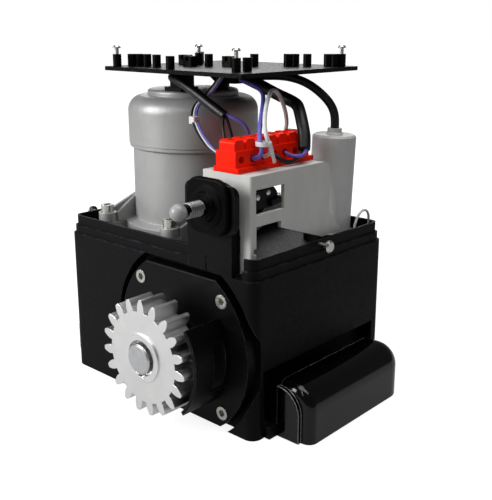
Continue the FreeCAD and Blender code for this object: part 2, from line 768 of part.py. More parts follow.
def make_pinion():
    """Spur pinion that drives the gate's rack; its raised hub ring is recessed round the shaft."""
    width = number("pinion_width")
    teeth = gear_outline(number("pinion_module"), int(number("pinion_teeth")), 0.1,
                         -math.radians(number("pinion_turn")), True)
    shape = Part.Face(teeth).extrude(FreeCAD.Vector(0, 0, width))
    ring_height = number("pinion_ring_height")
    low = FreeCAD.Vector(0, 0, -ring_height)
    shape = shape.fuse(Part.makeCylinder(number("pinion_ring"), width + ring_height, low))
    shape = shape.cut(Part.makeCylinder(number("shaft_end_radius + fit"), width + 2 * ring_height, low))
    recess = Part.makeCylinder(number("pinion_recess"), ring_height + number("pinion_recess_depth"), low)
    keyway = Part.makeBox(number("key_width + 2*fit"), number("key_height"), width + 2 * ring_height)
    keyway.translate(FreeCAD.Vector(-number("key_width/2 + fit"), number("shaft_end_radius - key_height/2"),
                                    -ring_height))
    new_feature("pinion", facing_rack(shape.cut([recess, keyway]).removeSplitter(), PINION_FACE))


def make_worm_wheel():
    """Bronze wheel with teeth set at the worm's lead angle."""
    module = number("wheel_module")
    teeth = int(number("wheel_teeth"))
    width = number("wheel_width")
    slope = module / 2 / number("worm_pitch_radius")
    twist = slope * width / (module * teeth / 2)
    ends = []
    for level, shift in ((0, -twist / 2), (width, twist / 2)):
        ring = gear_outline(module, teeth, number("backlash"), math.pi + shift, False)
        ring.translate(FreeCAD.Vector(0, 0, level))
        ends.append(ring)
    shape = Part.makeLoft(ends, True, True)
    shape = shape.cut(Part.makeCylinder(number("wheel_seat_radius + fit"), width))
    web = Part.makeCylinder(number("wheel_seat_radius + 20"), width / 5)
    web = web.cut(Part.makeCylinder(number("wheel_seat_radius + 8"), width / 5))
    far_web = web.copy()
    far_web.translate(FreeCAD.Vector(0, 0, width * 4 / 5))
    new_feature("worm_wheel", facing_rack(shape.cut([web, far_web]), "-wheel_width/2"))


def make_worm():
    """Single-start right-hand worm, cut on a sleeve that slides over the motor shaft."""
    module = number("wheel_module")
    pitch = math.pi * module
    radius = number("worm_pitch_radius")
    root = radius - 1.2 * module
    tip = radius + module
    half_root = pitch / 4 - number("backlash") / 4 + (radius - root + 0.3) * math.tan(math.radians(20))
    half_tip = pitch / 4 - number("backlash") / 4 - module * math.tan(math.radians(20))
    length = number("worm_length")
    turns = math.floor(length / pitch) - 1
    helix = Part.makeHelix(pitch, pitch * turns, root)
    corners = [FreeCAD.Vector(root - 0.3, 0, -half_root), FreeCAD.Vector(tip, 0, -half_tip),
               FreeCAD.Vector(tip, 0, half_tip), FreeCAD.Vector(root - 0.3, 0, half_root)]
    profile = Part.makePolygon(corners + corners[:1])
    thread = Part.Wire(helix.Edges).makePipeShell([profile], True, True)
    centre = number("gear_height")
    # the space between two threads faces the wheel at the height of its axis
    first = centre + pitch / 2 - pitch * math.ceil(turns / 2)
    thread.translate(FreeCAD.Vector(0, 0, first))
    core = Part.makeCylinder(root, length, FreeCAD.Vector(0, 0, centre - length / 2))
    bore = Part.makeCylinder(number("worm_shaft_radius + fit"), length * 2,
                             FreeCAD.Vector(0, 0, centre - length))
    shape = core.fuse(thread).cut(bore)
    shape.translate(FreeCAD.Vector(number("motor_axis_x"), 0, 0))
    new_feature("worm", shape)


# ---------------------------------------------------------------- shafts, bearings and seal
def make_output_shaft():
    shaft = new_body("output_shaft")
    place(shaft, GEAR_X, "0", "gear_height")
    front = f"({PINION_FACE} - shaft_end_proud)"
    bearing_front = f"({FLANGE_SEAT} + flange_hub_depth)"
    rear = "(chamber_rear + output_bearing_width - seat)"
    turn_level(shaft,
               (front, "0"), (front, "shaft_end_radius - 1"), (f"{front} + 1", "shaft_end_radius"),
               (f"{PINION_BACK}", "shaft_end_radius"), (f"{PINION_BACK}", "shaft_radius"),
               (bearing_front, "shaft_radius"), (bearing_front, "wheel_seat_radius + 1"),
               ("-wheel_width/2 - 4", "wheel_seat_radius + 1"), ("-wheel_width/2 - 4", "shaft_collar"),
               ("-wheel_width/2", "shaft_collar"), ("-wheel_width/2", "wheel_seat_radius"),
               ("chamber_rear", "wheel_seat_radius"), ("chamber_rear", "shaft_radius"),
               (f"{rear} - 1", "shaft_radius"), (rear, "shaft_radius - 1"), (rear, "0"))
    remove(shaft, "XZ_Plane", f"{PINION_FACE} + pinion_recess_depth + 1", f"{PINION_BACK}",
           rectangle("-key_width/2 - fit", "key_width/2 + fit",
                     "-shaft_end_radius - gap", "-shaft_end_radius + key_height/2"))


def make_pinion_key():
    key = new_body("pinion_key")
    place(key, GEAR_X, "0", "gear_height")
    add(key, "XZ_Plane", f"{PINION_FACE} + pinion_recess_depth + 1 + fit", f"{PINION_BACK} - fit",
        rectangle("-key_width/2", "key_width/2", "-shaft_end_radius - key_height/2 + fit",
                  "-shaft_end_radius + key_height/2 - fit"))


def make_level_bearing(label, front, outer, bore, width):
    """Ball bearing on the output shaft, with its shield set back in both faces."""
    bearing = new_body(label)
    place(bearing, GEAR_X, "0", "gear_height")
    step = f"({outer} - {bore})/4"
    back = f"({front} + {width})"
    turn_level(bearing, (front, bore), (front, f"{bore} + {step}"), (f"{front} + 1", f"{bore} + {step}"),
               (f"{front} + 1", f"{outer} - {step}"), (front, f"{outer} - {step}"), (front, outer),
               (back, outer), (back, f"{outer} - {step}"), (f"{back} - 1", f"{outer} - {step}"),
               (f"{back} - 1", f"{bore} + {step}"), (back, f"{bore} + {step}"), (back, bore))


def make_upright_bearing(label, low, outer, bore, width):
    """Ball bearing on the motor shaft."""
    bearing = new_body(label)
    place(bearing, "motor_axis_x")
    step = f"({outer} - {bore})/4"
    top = f"({low} + {width})"
    turn_upright(bearing, (bore, low), (f"{bore} + {step}", low), (f"{bore} + {step}", f"{low} + 1"),
                 (f"{outer} - {step}", f"{low} + 1"), (f"{outer} - {step}", low), (outer, low),
                 (outer, top), (f"{outer} - {step}", top), (f"{outer} - {step}", f"{top} - 1"),
                 (f"{bore} + {step}", f"{top} - 1"), (f"{bore} + {step}", top), (bore, top))


def make_seal():
    seal = new_body("shaft_seal")
    place(seal, GEAR_X, "0", "gear_height")
    front = f"({FLANGE_FACE} + flange_thickness/3)"
    back = f"({front} + seal_width - fit)"
    lip = "shaft_radius + fit"
    turn_level(seal, (front, lip), (front, "seal_radius"), (back, "seal_radius"),
               (back, "seal_radius - 2"), (f"{front} + 2", "seal_radius - 2"),
               (f"{front} + 2", f"{lip} + 2"), (f"{back} - 1", lip))


# ---------------------------------------------------------------- motor
def make_casing():
    """Aluminium motor barrel with four braced ears and a seat for the lower bearing."""
    casing = new_body("motor_casing")
    place(casing, "motor_axis_x")
    seat = f"(plinth_top + seat)"
    bearing_top = "(plinth_top + 2 + lower_bearing_width)"
    turn_upright(casing,
                 ("motor_shaft_radius + 3", seat), ("casing_plate_radius", seat),
                 ("casing_plate_radius", "casing_plate_top"), ("casing_radius", "casing_plate_top + 2"),
                 ("casing_radius", "seam_height - seam_flange - 1.5"), ("cap_radius - seam_inset", "seam_height - seam_flange"),
                 ("cap_radius - seam_inset", "seam_height"), (CASING_BORE, "seam_height"),
                 (CASING_BORE, "casing_plate_top"),
                 ("lower_bearing_radius + 4", "casing_plate_top"), ("lower_bearing_radius + 4", bearing_top),
                 ("lower_bearing_radius + fit", bearing_top), ("lower_bearing_radius + fit", "plinth_top + 2"),
                 ("motor_shaft_radius + 3", "plinth_top + 2"))
    for x, y in ear_places():
        side_x = 1 if number(x) > 0 else -1
        side_y = 1 if number(y) > 0 else -1
        root_y = f"{side_y}*{CASING_BORE}*0.72"
        edges = sorted((root_y, y), key=number)
        add(casing, "XY_Plane", seat, "casing_plate_top",
            rectangle(f"{x} - ear_radius", f"{x} + ear_radius", edges[0], edges[1]))
        add(casing, "XY_Plane", seat, "ear_top", circle(x, y, "ear_radius"))
        for shift in (-1, 1):
            middle = f"({x} + {shift}*(ear_radius - gusset_thickness/2))"
            inner = f"({side_y}*sqrt((casing_radius - 1.5)^2 - ({middle})^2))"
            add(casing, "YZ_Plane", f"{middle} - gusset_thickness/2", f"{middle} + gusset_thickness/2",
                outline((inner, "casing_plate_top - 1"), (f"{y} - {side_y}*ear_radius*0.7", "casing_plate_top - 1"),
                        (f"{y} - {side_y}*ear_radius*0.7", "ear_top - 0.5"), (inner, "gusset_top")))
    remove(casing, "XY_Plane", seat, "ear_top",
           *(circle(x, y, "screw_radius + gap") for x, y in ear_places()))


def make_end_cap():
    """Domed cap that closes the motor and holds its upper bearing."""
    cap = new_body("motor_end_cap")
    place(cap, "motor_axis_x")
    seat_top = "(cap_top - 8)"
    seat_low = f"({seat_top} - upper_bearing_width)"
    turn_upright(cap,
                 ("0", "cap_boss_top"), ("cap_boss_radius", "cap_boss_top"), ("cap_boss_radius", "cap_top"),
                 ("cap_radius", "cap_top"), ("cap_radius", "seam_height + seat"),
                 (CAP_BORE, "seam_height + seat"), (CAP_BORE, "cap_top - cap_round - 2"),
                 ("cap_radius - cap_round + 2", "cap_top - cap_round/2"),
                 ("upper_bearing_radius + 4", "cap_top - cap_round/2"), ("upper_bearing_radius + 4", seat_low),
                 ("upper_bearing_radius + fit", seat_low), ("upper_bearing_radius + fit", seat_top),
                 ("0", seat_top))
    dress(cap, "Fillet", "cap_round",
          lambda edge: round_hole_edge(edge, "cap_radius") and near(edge.BoundBox.ZMax, "cap_top"))
    dress(cap, "Fillet", "(cap_boss_top - cap_top)/2",
          lambda edge: round_hole_edge(edge, "cap_boss_radius") and near(edge.BoundBox.ZMax, "cap_boss_top"))


def make_motor_bolts():
    bolts = new_body("motor_bolts")
    place(bolts, "motor_axis_x")
    head_low = "(ear_top + fit)"
    head_top = f"({head_low} + screw_head_height)"
    add(bolts, "XY_Plane", "plinth_top - screw_length + 5", head_low,
        *(circle(x, y, "screw_radius") for x, y in ear_places()))
    add(bolts, "XY_Plane", head_low, head_top, *(circle(x, y, "screw_head_radius") for x, y in ear_places()))
    remove(bolts, "XY_Plane", f"{head_top} - screw_head_height/2", head_top,
           *(hexagon(x, y, "hex_across") for x, y in ear_places()))


def make_stator():
    core = new_body("stator_core")
    place(core, "motor_axis_x")
    outer = f"({CASING_BORE} - fit)"
    turn_upright(core, ("stator_bore", "stator_low"), (outer, "stator_low"), (outer, "stator_high"),
                 ("stator_bore", "stator_high"))
    for label, low, high in (("winding_lower", "(stator_low - winding_height)", "(stator_low - fit)"),
                             ("winding_upper", "(stator_high + fit)", "(stator_high + winding_height + 1)")):
        winding = new_body(label)
        place(winding, "motor_axis_x")
        turn_upright(winding, ("stator_bore + 2", low), (f"{CASING_BORE} - 3", low), (f"{CASING_BORE} - 3", high),
                     ("stator_bore + 2", high))


def make_motor_shaft():
    shaft = new_body("motor_shaft")
    place(shaft, "motor_axis_x")
    bearing_low = "(plinth_top + 2)"
    bearing_top = f"({bearing_low} + lower_bearing_width)"
    tail_top = "(cap_top - 8 - seat)"
    tail_low = "(cap_top - 8 - upper_bearing_width)"
    turn_upright(shaft,
                 ("0", "tail_bearing_seat + seat"), ("worm_shaft_radius", "tail_bearing_seat + seat"),
                 ("worm_shaft_radius", bearing_low), ("motor_shaft_radius", bearing_low),
                 ("motor_shaft_radius", bearing_top), ("motor_shaft_radius + 2", bearing_top),
                 ("motor_shaft_radius + 2", f"{bearing_top} + 2"), ("rotor_seat_radius", f"{bearing_top} + 2"),
                 ("rotor_seat_radius", "stator_high + 2"), ("motor_shaft_radius", "stator_high + 2"),
                 ("motor_shaft_radius", tail_low), ("rotor_tail_radius", tail_low),
                 ("rotor_tail_radius", tail_top), ("0", tail_top))


def make_rotor():
    rotor = new_body("rotor_core")
    place(rotor, "motor_axis_x")
    outer = "stator_bore - air_gap"
    bore = "rotor_seat_radius + fit"
    low = "(stator_low - 4)"
    high = "(stator_high + 2)"
    turn_upright(rotor, (bore, low), (outer, low), (outer, high), (bore, high))


# ---------------------------------------------------------------- board carrier
# posts and clips on the carrier: places from its centre
FREE_POSTS = ((-58, -49), (-54, -45), (-46, -44), (-33, -46), (-6, -57), (-52, 18), (-14, -10), (51, -38),
              (12, 13), (31, 30), (35, 34), (42, 40), (54, 50), (58, 53))
SCREWED_POSTS = ((-62, -60), (-37, 2), (50, -48), (61, 58))
CLIPS = ((-24, -20), (0, -2), (-44, -6))


def post_places(posts):
    return [(f"carrier_x + {x}", f"carrier_y + {y}") for x, y in posts]


def make_carrier():
    """Flat moulded plate under the circuit board, with the standoffs and clips that stand on it."""
    carrier = new_body("board_carrier")
    add(carrier, "XY_Plane", "carrier_bottom", CARRIER_TOP,
        centred("carrier_width", "carrier_depth", "carrier_x", "carrier_y"))
    dress(carrier, "Fillet", "carrier_corner", lambda edge: runs_along(edge, "z"))
    remove(carrier, "XY_Plane", f"{CARRIER_TOP} - 1.5", CARRIER_TOP,
           *(circle(x, y, "post_screw_radius + fit") for x, y in post_places(SCREWED_POSTS)))
    posts = new_body("carrier_posts")
    foot = f"({CARRIER_TOP} + fit)"
    post_top = f"({foot} + post_height)"
    add(posts, "XY_Plane", foot, post_top,
        *(circle(x, y, "post_radius") for x, y in post_places(FREE_POSTS + SCREWED_POSTS)))
    remove(posts, "XY_Plane", foot, post_top,
           *(circle(x, y, "post_screw_radius + fit") for x, y in post_places(SCREWED_POSTS)))
    clips = new_body("carrier_clips")
    add(clips, "XY_Plane", foot, f"{foot} + clip_rise",
        *(centred("clip_length", "clip_depth", x, y) for x, y in post_places(CLIPS)))
    slot_low = f"({foot} + clip_rise/2)"
    remove(clips, "XY_Plane", slot_low, f"{foot} + clip_rise",
           *(centred("clip_length/3", "clip_depth + gap", x, y) for x, y in post_places(CLIPS)))


def make_carrier_screws():
    screws = new_body("carrier_screws")
    places = post_places(SCREWED_POSTS)
    neck = f"({CARRIER_TOP} + post_height + post_screw_proud)"
    head_top = f"({neck} + post_screw_head_height)"
    add(screws, "XY_Plane", f"{CARRIER_TOP} + 1", neck, *(circle(x, y, "post_screw_radius") for x, y in places))
    add(screws, "XY_Plane", neck, head_top, *(circle(x, y, "post_screw_head") for x, y in places))
    dress(screws, "Chamfer", "post_screw_head_height/2",
          lambda edge: near(edge.BoundBox.ZMin, head_top) and near(edge.BoundBox.ZMax, head_top))


def make_carrier_supports():
    """Foot and pillar that stand on the motor cap and hold the carrier up."""
    foot = new_body("carrier_support")
    top = "carrier_bottom - fit"
    base = "cap_boss_top + fit"
    edges = ("support_left", "support_right")
    add(foot, "XY_Plane", base, top,
        rectangle(*edges, "support_y - support_depth/2", "support_y + support_depth/2"))
    add(foot, "XY_Plane", base, f"{base} + 3",
        rectangle("support_left - 4", "support_right", "support_y - support_depth/2 - 2",
                  "support_y + support_depth/2 + 4"))
    pillar = new_body("carrier_pillar")
    place(pillar, "pillar_x", "pillar_y")
    turn_upright(pillar, ("0", base), ("pillar_radius", base), ("pillar_radius", f"{top} - pillar_flare"),
                 ("pillar_crown", f"{top} - 2"), ("pillar_crown", top), ("0", top))
    grommet = new_body("cable_grommet")
    add(grommet, "XY_Plane", "carrier_bottom - grommet_drop", top,
        rounded_rectangle("grommet_left", "grommet_right", "-grommet_front", "grommet_rear", "3"))


# ---------------------------------------------------------------- switch bracket
def make_bracket():
    """Moulded frame that holds the limit switch in front and the terminals on top."""
    bracket = new_body("switch_bracket")
    front = "(-bracket_front)"
    wall_back = "(-bracket_front + bracket_wall)"
    panel_in = "(bracket_right - bracket_wall)"
    foot = "(deck_top + seat)"
    shelf = "(window_low - 8)"
    add(bracket, "YZ_Plane", panel_in, "bracket_right",
        outline((front, foot), (front, "bracket_top"), ("bracket_rear", "bracket_top"),
                ("bracket_rear", "bracket_top - 38"), ("bracket_rear + 16", "rim_top"),
                ("bracket_rear - 8", "rim_top - 1"), ("-window_rear - 3", shelf + " - 5"),
                ("-window_rear - 3", shelf), (f"{front} + leg_depth", shelf),
                (f"{front} + leg_depth", "rim_top + 5"), (f"{front} + 2", "rim_top + 5"),
                (f"{front} + 2", "rim_top + 1"), (f"{front} + leg_depth", "rim_top + 1"),
                (f"{front} + leg_depth", foot)))
    dress(bracket, "Fillet", "bracket_corner",
          lambda edge: runs_along(edge, "x") and near(edge.CenterOfMass.y, "bracket_rear")
          and near(edge.CenterOfMass.z, "bracket_top"))
    remove(bracket, "YZ_Plane", panel_in, "bracket_right",
           rectangle("-window_front", "-window_rear", "window_low", "window_high"))
    add(bracket, "XY_Plane", foot, "bracket_top",
        rectangle("bracket_right - column_width", "bracket_right", front, wall_back))
    add(bracket, "XZ_Plane", front, wall_back,
        rectangle("bracket_left", "bracket_right", "block_top + seat", "bracket_top"))
    add(bracket, "XY_Plane", "bracket_top - bracket_wall", "bracket_top",
        rectangle("bracket_left", "bracket_right - bracket_wall", front, "bracket_rear - bracket_corner"))
    dress(bracket, "Fillet", "bracket_edge",
          lambda edge: runs_along(edge, "z") and near(edge.CenterOfMass.x, "bracket_right")
          and near(edge.CenterOfMass.y, front))
    remove(bracket, "XZ_Plane", front, wall_back, circle("lever_x", "lever_z", "switch_hole"))
    # lugs that hold the lever's pivot pin
    for low, high in (("lever_z - pin_reach", "lever_z - pin_reach + 2.5"),
                      ("lever_z + pin_reach - 2.5", "lever_z + pin_reach")):
        add(bracket, "XY_Plane", low, high,
            rectangle("lever_x - 3", "lever_x + 3", wall_back + " - 1", "-lever_pivot + 3"))
        remove(bracket, "XY_Plane", low, high, circle("lever_x", "-lever_pivot", "pivot_radius + fit"))


# ---------------------------------------------------------------- limit switch
def make_switch_plate():
    plate = new_body("switch_plate")
    back = PLATE_BACK
    middle = f"({back} - plate_thickness/2)"
    front = PLATE_FRONT
    add(plate, "XZ_Plane", front, middle, centred("plate_width", "plate_height", "lever_x", "plate_z"))
    add(plate, "XZ_Plane", middle, back,
        centred("(plate_width - 2)", "(plate_height - 2)", "lever_x", "plate_z"))
    dress(plate, "Fillet", "plate_corner", lambda edge: runs_along(edge, "y"))
    add(plate, "XZ_Plane", back, "-bracket_front - seat", circle("lever_x", "lever_z", "plate_hub"))
    remove(plate, "XZ_Plane", front, "-bracket_front - seat", circle("lever_x", "lever_z", "switch_hole"))


def make_boot():
    """Rubber boot: a square pad with round corners that rises to a collar round the lever."""
    boot = new_body("switch_boot")
    place(boot, "lever_x", "0", "lever_z")
    back = f"({PLATE_FRONT} - seat)"
    front = f"({back} - boot_rise)"
    half = "(boot_side/2)"
    add(boot, "XZ_Plane", front, back,
        rounded_rectangle(f"-{half}", half, f"-{half}", half, "boot_corner"), circle("0", "0", "switch_hole"))
    dress(boot, "Fillet", "boot_edge", lambda edge: near(edge.BoundBox.YMax, front)
          and not round_hole_edge(edge, "switch_hole"))
    nose = "(-boot_nose_at)"
    neck = "(rod_radius + gap)"
    turn_level(boot, (f"{front} + 1", "switch_hole"), (f"{front} + 1", f"{half} - 2.5"),
               (f"{front} - 0.8", f"{half} - 5"), (f"{nose} + 1", "boot_collar + 1"),
               (f"{nose} - 1.2", "boot_collar"), (f"{nose} - 1.2", "spring_radius + 2.5"),
               (f"{nose} - 2.3", "spring_radius + 1.5"), (f"{nose} - 2.3", neck), (nose, neck),
               (f"{nose} + 1", "boot_collar - 2"))


def make_lever():
    """Rocker with its rod, the close-wound spring round the rod and the grip ball."""
    rocker = new_body("lever_rocker")
    back = "(-lever_pivot + rocker_thickness/2)"
    front = "(-lever_pivot - rocker_thickness/2)"
    add(rocker, "XZ_Plane", front, back,
        centred("2*rocker_half", "rocker_height", "lever_x", "lever_z"))
    add(rocker, "XZ_Plane", "-ball_at + ball_radius - 2", front, circle("lever_x", "lever_z", "rod_radius"))
    remove(rocker, "XY_Plane", "lever_z - rocker_height/2", "lever_z + rocker_height/2",
           circle("lever_x", "-lever_pivot", "pivot_radius + fit"))
    pin = new_body("lever_pin")
    add(pin, "XY_Plane", "lever_z - pin_reach", "lever_z + pin_reach",
        circle("lever_x", "-lever_pivot", "pivot_radius"))
    spring = new_body("lever_spring")
    place(spring, "lever_x", "0", "lever_z")
    inner = "(spring_radius - spring_wire)"
    turn_level(spring, ("-spring_end", inner), ("-spring_end", "spring_radius"),
               ("-spring_start", "spring_radius"), ("-spring_start", inner))
    ball = new_body("lever_ball")
    place(ball, "lever_x", "0", "lever_z")
    sketch = new_sketch(ball, "YZ_Plane", "0")
    middle = FreeCAD.Vector(-number("ball_at"), 0, 0)
    ring = Part.Circle(middle, FreeCAD.Vector(0, 0, 1), number("ball_radius"))
    arc = sketch.addGeometry(Part.ArcOfCircle(ring, 0, math.pi), False)
    across = FreeCAD.Vector(number("ball_radius"), 0, 0)
    chord = sketch.addGeometry(Part.LineSegment(middle - across, middle + across), False)
    sketch.addConstraint(Sketcher.Constraint("Coincident", arc, 2, chord, 1))
    sketch.addConstraint(Sketcher.Constraint("Coincident", chord, 2, arc, 1))
    sketch.addConstraint(Sketcher.Constraint("PointOnObject", chord, 1, -1))
    sketch.addConstraint(Sketcher.Constraint("PointOnObject", chord, 2, -1))
    fix_point(sketch, arc, 3, "-ball_at", "0")
    fix_radius(sketch, arc, "ball_radius")
    feature = ball.newObject("PartDesign::Revolution", "ball_turned")
    feature.Profile = sketch
    feature.ReferenceAxis = (sketch, ["H_Axis"])
    feature.Angle = 360
    remove(ball, "XZ_Plane", "-ball_at + ball_radius - 2 - fit", "-ball_at + ball_radius",
           circle("0", "0", "rod_radius + fit"))


def make_microswitch(side, name):
    """Snap switch behind one end of the rocker, with its plunger and three blade terminals."""
    body = new_body(f"microswitch_{name}")
    x = f"(lever_x + {side}*microswitch_pitch/2)"
    front = "(-microswitch_front)"
    back = f"({front} + microswitch_height)"
    add(body, "XZ_Plane", front, back, centred("microswitch_width", "microswitch_length", x, "lever_z"))
    remove(body, "XZ_Plane", front, f"{front} + 4.5", circle(x, "lever_z", "plunger_radius + 2*fit"))
    remove(body, "YZ_Plane", f"{x} - microswitch_width/2", f"{x} + microswitch_width/2",
           circle(f"{front} + microswitch_height - 4", "lever_z + 9", "1.5"),
           circle(f"{front} + microswitch_height - 4", "lever_z - 9", "1.5"))
    add(body, "XZ_Plane", back, f"{back} + 7",
        *(centred("0.8", "4.8", x, f"(lever_z + {row}*8)") for row in (-1, 0, 1)))
    plunger = new_body(f"plunger_{name}")
    place(plunger, x, "0", "lever_z")
    tip = f"({front} - plunger_proud)"
    turn_level(plunger, (tip, "0"), (tip, "plunger_tip"), (f"{tip} + 0.6", "plunger_radius"),
               (f"{front} + 2.5", "plunger_radius"), (f"{front} + 2.5", "0"))


# ---------------------------------------------------------------- terminals, capacitor and small screws
def terminal_rows():
    first = "(-terminal_front + terminal_pitch/2 + 0.6)"
    return [f"({first} + {index}*terminal_pitch)" for index in range(int(number("terminal_count")))]


def make_terminals():
    """Terminal strip with a tower over each clamp, wires entering from the right."""
    strip = new_body("terminal_block")
    base = "(bracket_top + seat)"
    left = "(block_x - terminal_width/2)"
    right = "(block_x + terminal_width/2)"
    face = f"({right} - 3)"
    rows = terminal_rows()
    add(strip, "XY_Plane", base, "terminal_base_top",
        rectangle(left, right, "-terminal_front", "terminal_rear"))
    add(strip, "XY_Plane", "terminal_base_top", "terminal_body_top",
        rectangle(f"{left} + 2", face, "-terminal_front + 0.5", "terminal_rear - 2"))
    half = "tower_width/2"
    add(strip, "YZ_Plane", f"{left} + 4", f"{face} - 2",
        *(rounded_rectangle(f"{y} - {half}", f"{y} + {half}", "(terminal_body_top - 2*tower_corner)", "tower_top",
                            "tower_corner") for y in rows))
    remove(strip, "YZ_Plane", f"{face} - terminal_bore_depth", face,
           *(circle(y, "terminal_base_top + 5", "terminal_bore") for y in rows))
    floor = "(tower_top - clamp_depth)"
    remove(strip, "XY_Plane", floor, "tower_top", *(circle("block_x", y, "clamp_screw + seat") for y in rows))
    screws = new_body("terminal_screws")
    top = f"({floor} + seat + clamp_screw_height)"
    add(screws, "XY_Plane", f"{floor} + seat", top, *(circle("block_x", y, "clamp_screw") for y in rows))
    remove(screws, "XY_Plane", f"{top} - clamp_screw_height/3", top,
           *(centred("clamp_screw*1.44", "clamp_screw/3", "block_x", y) for y in rows))


def make_capacitor():
    """Run capacitor: a can with a cable gland, leaning a little in the clip that holds its foot."""
    can = new_body("capacitor")
    place(can, CAPACITOR_X, "capacitor_y", "capacitor_bottom")
    length = "(capacitor_top - capacitor_bottom)"
    turn_upright(can, ("0", "0"), ("capacitor_radius - 2", "0"), ("capacitor_radius", "2"),
                 ("capacitor_radius", f"{length} - 1.5"), ("capacitor_radius - 1.5", length), ("0", length))
    gland = new_body("capacitor_gland")
    place(gland, CAPACITOR_X, "capacitor_y", "capacitor_bottom")
    low = f"({length} + fit)"
    turn_upright(gland, ("0", low), ("gland_radius + 1.5", low), ("gland_radius", f"{low} + 1.5"),
                 ("gland_radius", f"{low} + gland_height"), ("0", f"{low} + gland_height"))
    clip = new_body("capacitor_clip")
    place(clip, CAPACITOR_X, "capacitor_y", "deck_top + fit")
    bore = "(capacitor_radius + 2*gap)"
    turn_upright(clip, (bore, "0"), (f"{bore} + clip_wall", "0"), (f"{bore} + clip_wall", "clip_height"),
                 (bore, "clip_height"))
    for leaning in (can, gland):
        leaning.Placement.Rotation = FreeCAD.Rotation(FreeCAD.Vector(-0.67, 0.74, 0), 1)
        leaning.setExpression(".Placement.Rotation.Angle", bound("capacitor_lean"))


def make_rim_screw(label, side, y):
    """Cover screw left standing in the rim after the cover was lifted off."""
    screw = new_body(label)
    place(screw, "0", y, "rim_screw_z")
    head = f"({side}*({RIM_SIDE} + rim_screw_proud))"
    def across(a, b, radius):
        low, high = sorted((a, b), key=number)
        add(screw, "YZ_Plane", low, high, circle("0", "0", radius))
    across(f"{side}*({RIM_SIDE} - rim_wall - 2)", head, "rim_screw_radius")
    across(head, f"{head} + {side}*2.6", "rim_screw_head")
    dress(screw, "Chamfer", "1.1", lambda edge: round_hole_edge(edge, "rim_screw_head")
          and abs(edge.CenterOfMass.x) > abs(number(head)) + 1)


# ---------------------------------------------------------------- cables and wires
# Each cord: its diameter and the points that its runs go through, from one end to the other.
CORDS = {
    "capacitor_cable": [(6.5, ((20.05, 12, 241.4), (31, 18.5, 242.2), (43, 26, 241.7), (54, 32.5, 238),
                               (63, 38.5, 231), (70, 44.5, 221.5), (72.45, 47.2, 212), (72.2, 47, 203.65)))],
    "supply_cable": [(9, ((20.05, 3.5, 240.6), (31, 9, 235.2), (43, 13, 229.2), (54.5, 14, 225.6), (64.5, 11, 223.2),
                          (71.5, 5.5, 217.6), (77.5, 1, 210), (82, -2, 202.2), (84.5, -6, 194.6)))],
    "supply_wires": [(2.6, ((86.4, -5, 195.4), (87.4, -8.6, 192), (86.8, -12.8, 190.8), (84, -16, 190.8),
                            (80.4, -17.8, 191.6), (77.05, -18, 193))),
                     (3, ((83.4, -7.2, 193.8), (84, -11.6, 190.4), (84.4, -17, 187.6), (84, -22.4, 187.2),
                          (82.2, -26.6, 188.8), (79.8, -28.8, 191), (77.05, -29.2, 193)))],
    "motor_cable": [(7, ((-21, -30.05, 240.8), (-19, -35.6, 241.5), (-11.5, -39.8, 241.2), (-1.5, -41, 238),
                         (11, -42, 232.9), (24, -43.2, 227.2), (35, -44, 222.3), (43.5, -43.5, 218)))],
    "motor_wires": [(2.4, ((44.1, -42.6, 219.3), (47, -41.8, 217.6), (50.8, -39.6, 215.6), (54.6, -36.6, 213.2),
                           (56.2, -33.8, 208.8), (56, -31.6, 203), (55.8, -30.2, 198), (56.2, -29.5, 194.6),
                           (58.95, -29.2, 193))),
                    (2.2, ((43.1, -42.2, 217.3), (45.4, -42.6, 214.4), (47.6, -43.2, 210.6), (49.4, -43.4, 206),
                           (50.6, -43, 201.2), (52.7, -42.2, 197), (55.6, -41.2, 194.2), (58.95, -40.4, 193))),
                    (2.2, ((43.3, -44.9, 217.5), (44.8, -46.8, 214.4), (46.8, -49, 210.6), (49.2, -50.5, 206),
                           (51.4, -51.2, 201.2), (53.6, -51.6, 197), (56, -51.8, 194.4), (58.95, -51.6, 193)))],
    "blue_wire": [(3.2, ((20.05, -3, 239.6), (31, -4, 237.6), (42, -7, 235), (53, -14, 232.4), (62, -24, 228.4),
                         (70, -34.5, 222), (76, -43.5, 213.5), (80.6, -49.4, 205.4), (84.6, -50.8, 200),
                         (84, -51.5, 196.2), (81, -51.8, 193.6), (77.05, -51.6, 193)))],
    "white_wire": [(3, ((77.05, -40.4, 193), (82.8, -40.8, 194.6), (85.4, -43.6, 200), (84.6, -46.6, 207.4),
                        (80.6, -44.4, 215.8), (75.5, -37.2, 224.4), (69.6, -27.6, 231.6), (64, -17, 235.8),
                        (60.4, -7, 233.2), (58.8, 1, 225.2), (58.2, 6, 215.6), (57.2, 8, 206.4), (53.6, 7.6, 199.8),
                        (52.4, 6.2, 195.8), (55.3, 4.8, 193.1), (58.95, 4.4, 193)))],
    "earth_wire": [(2, ((90, 50.2, 117.2), (90.7, 50, 124), (91.4, 50.4, 130.6), (92, 53, 136.6), (92.5, 57.8, 140.4),
                        (92.6, 63, 140.2), (92.2, 67.4, 136.4), (91.4, 69.4, 130.2), (90.4, 69.2, 123.6),
                        (89.2, 68, 117.2)))],
}
# three wires side by side that run down in front of the motor
BUNDLE = ((25, -26.4, 245.5), (23.4, -28.8, 240.2), (20.2, -32, 234.4), (16.8, -36, 228.2), (13.5, -41, 224.1),
          (15, -46, 218), (20.4, -50, 212.4), (28.4, -54, 206.4), (38.3, -58, 200.8), (48.9, -61, 195.6),
          (58.95, -61.6, 193))
BUNDLE_STEP = (1.25, 1.13, 0)
BUNDLE_DIAMETER = 1.6


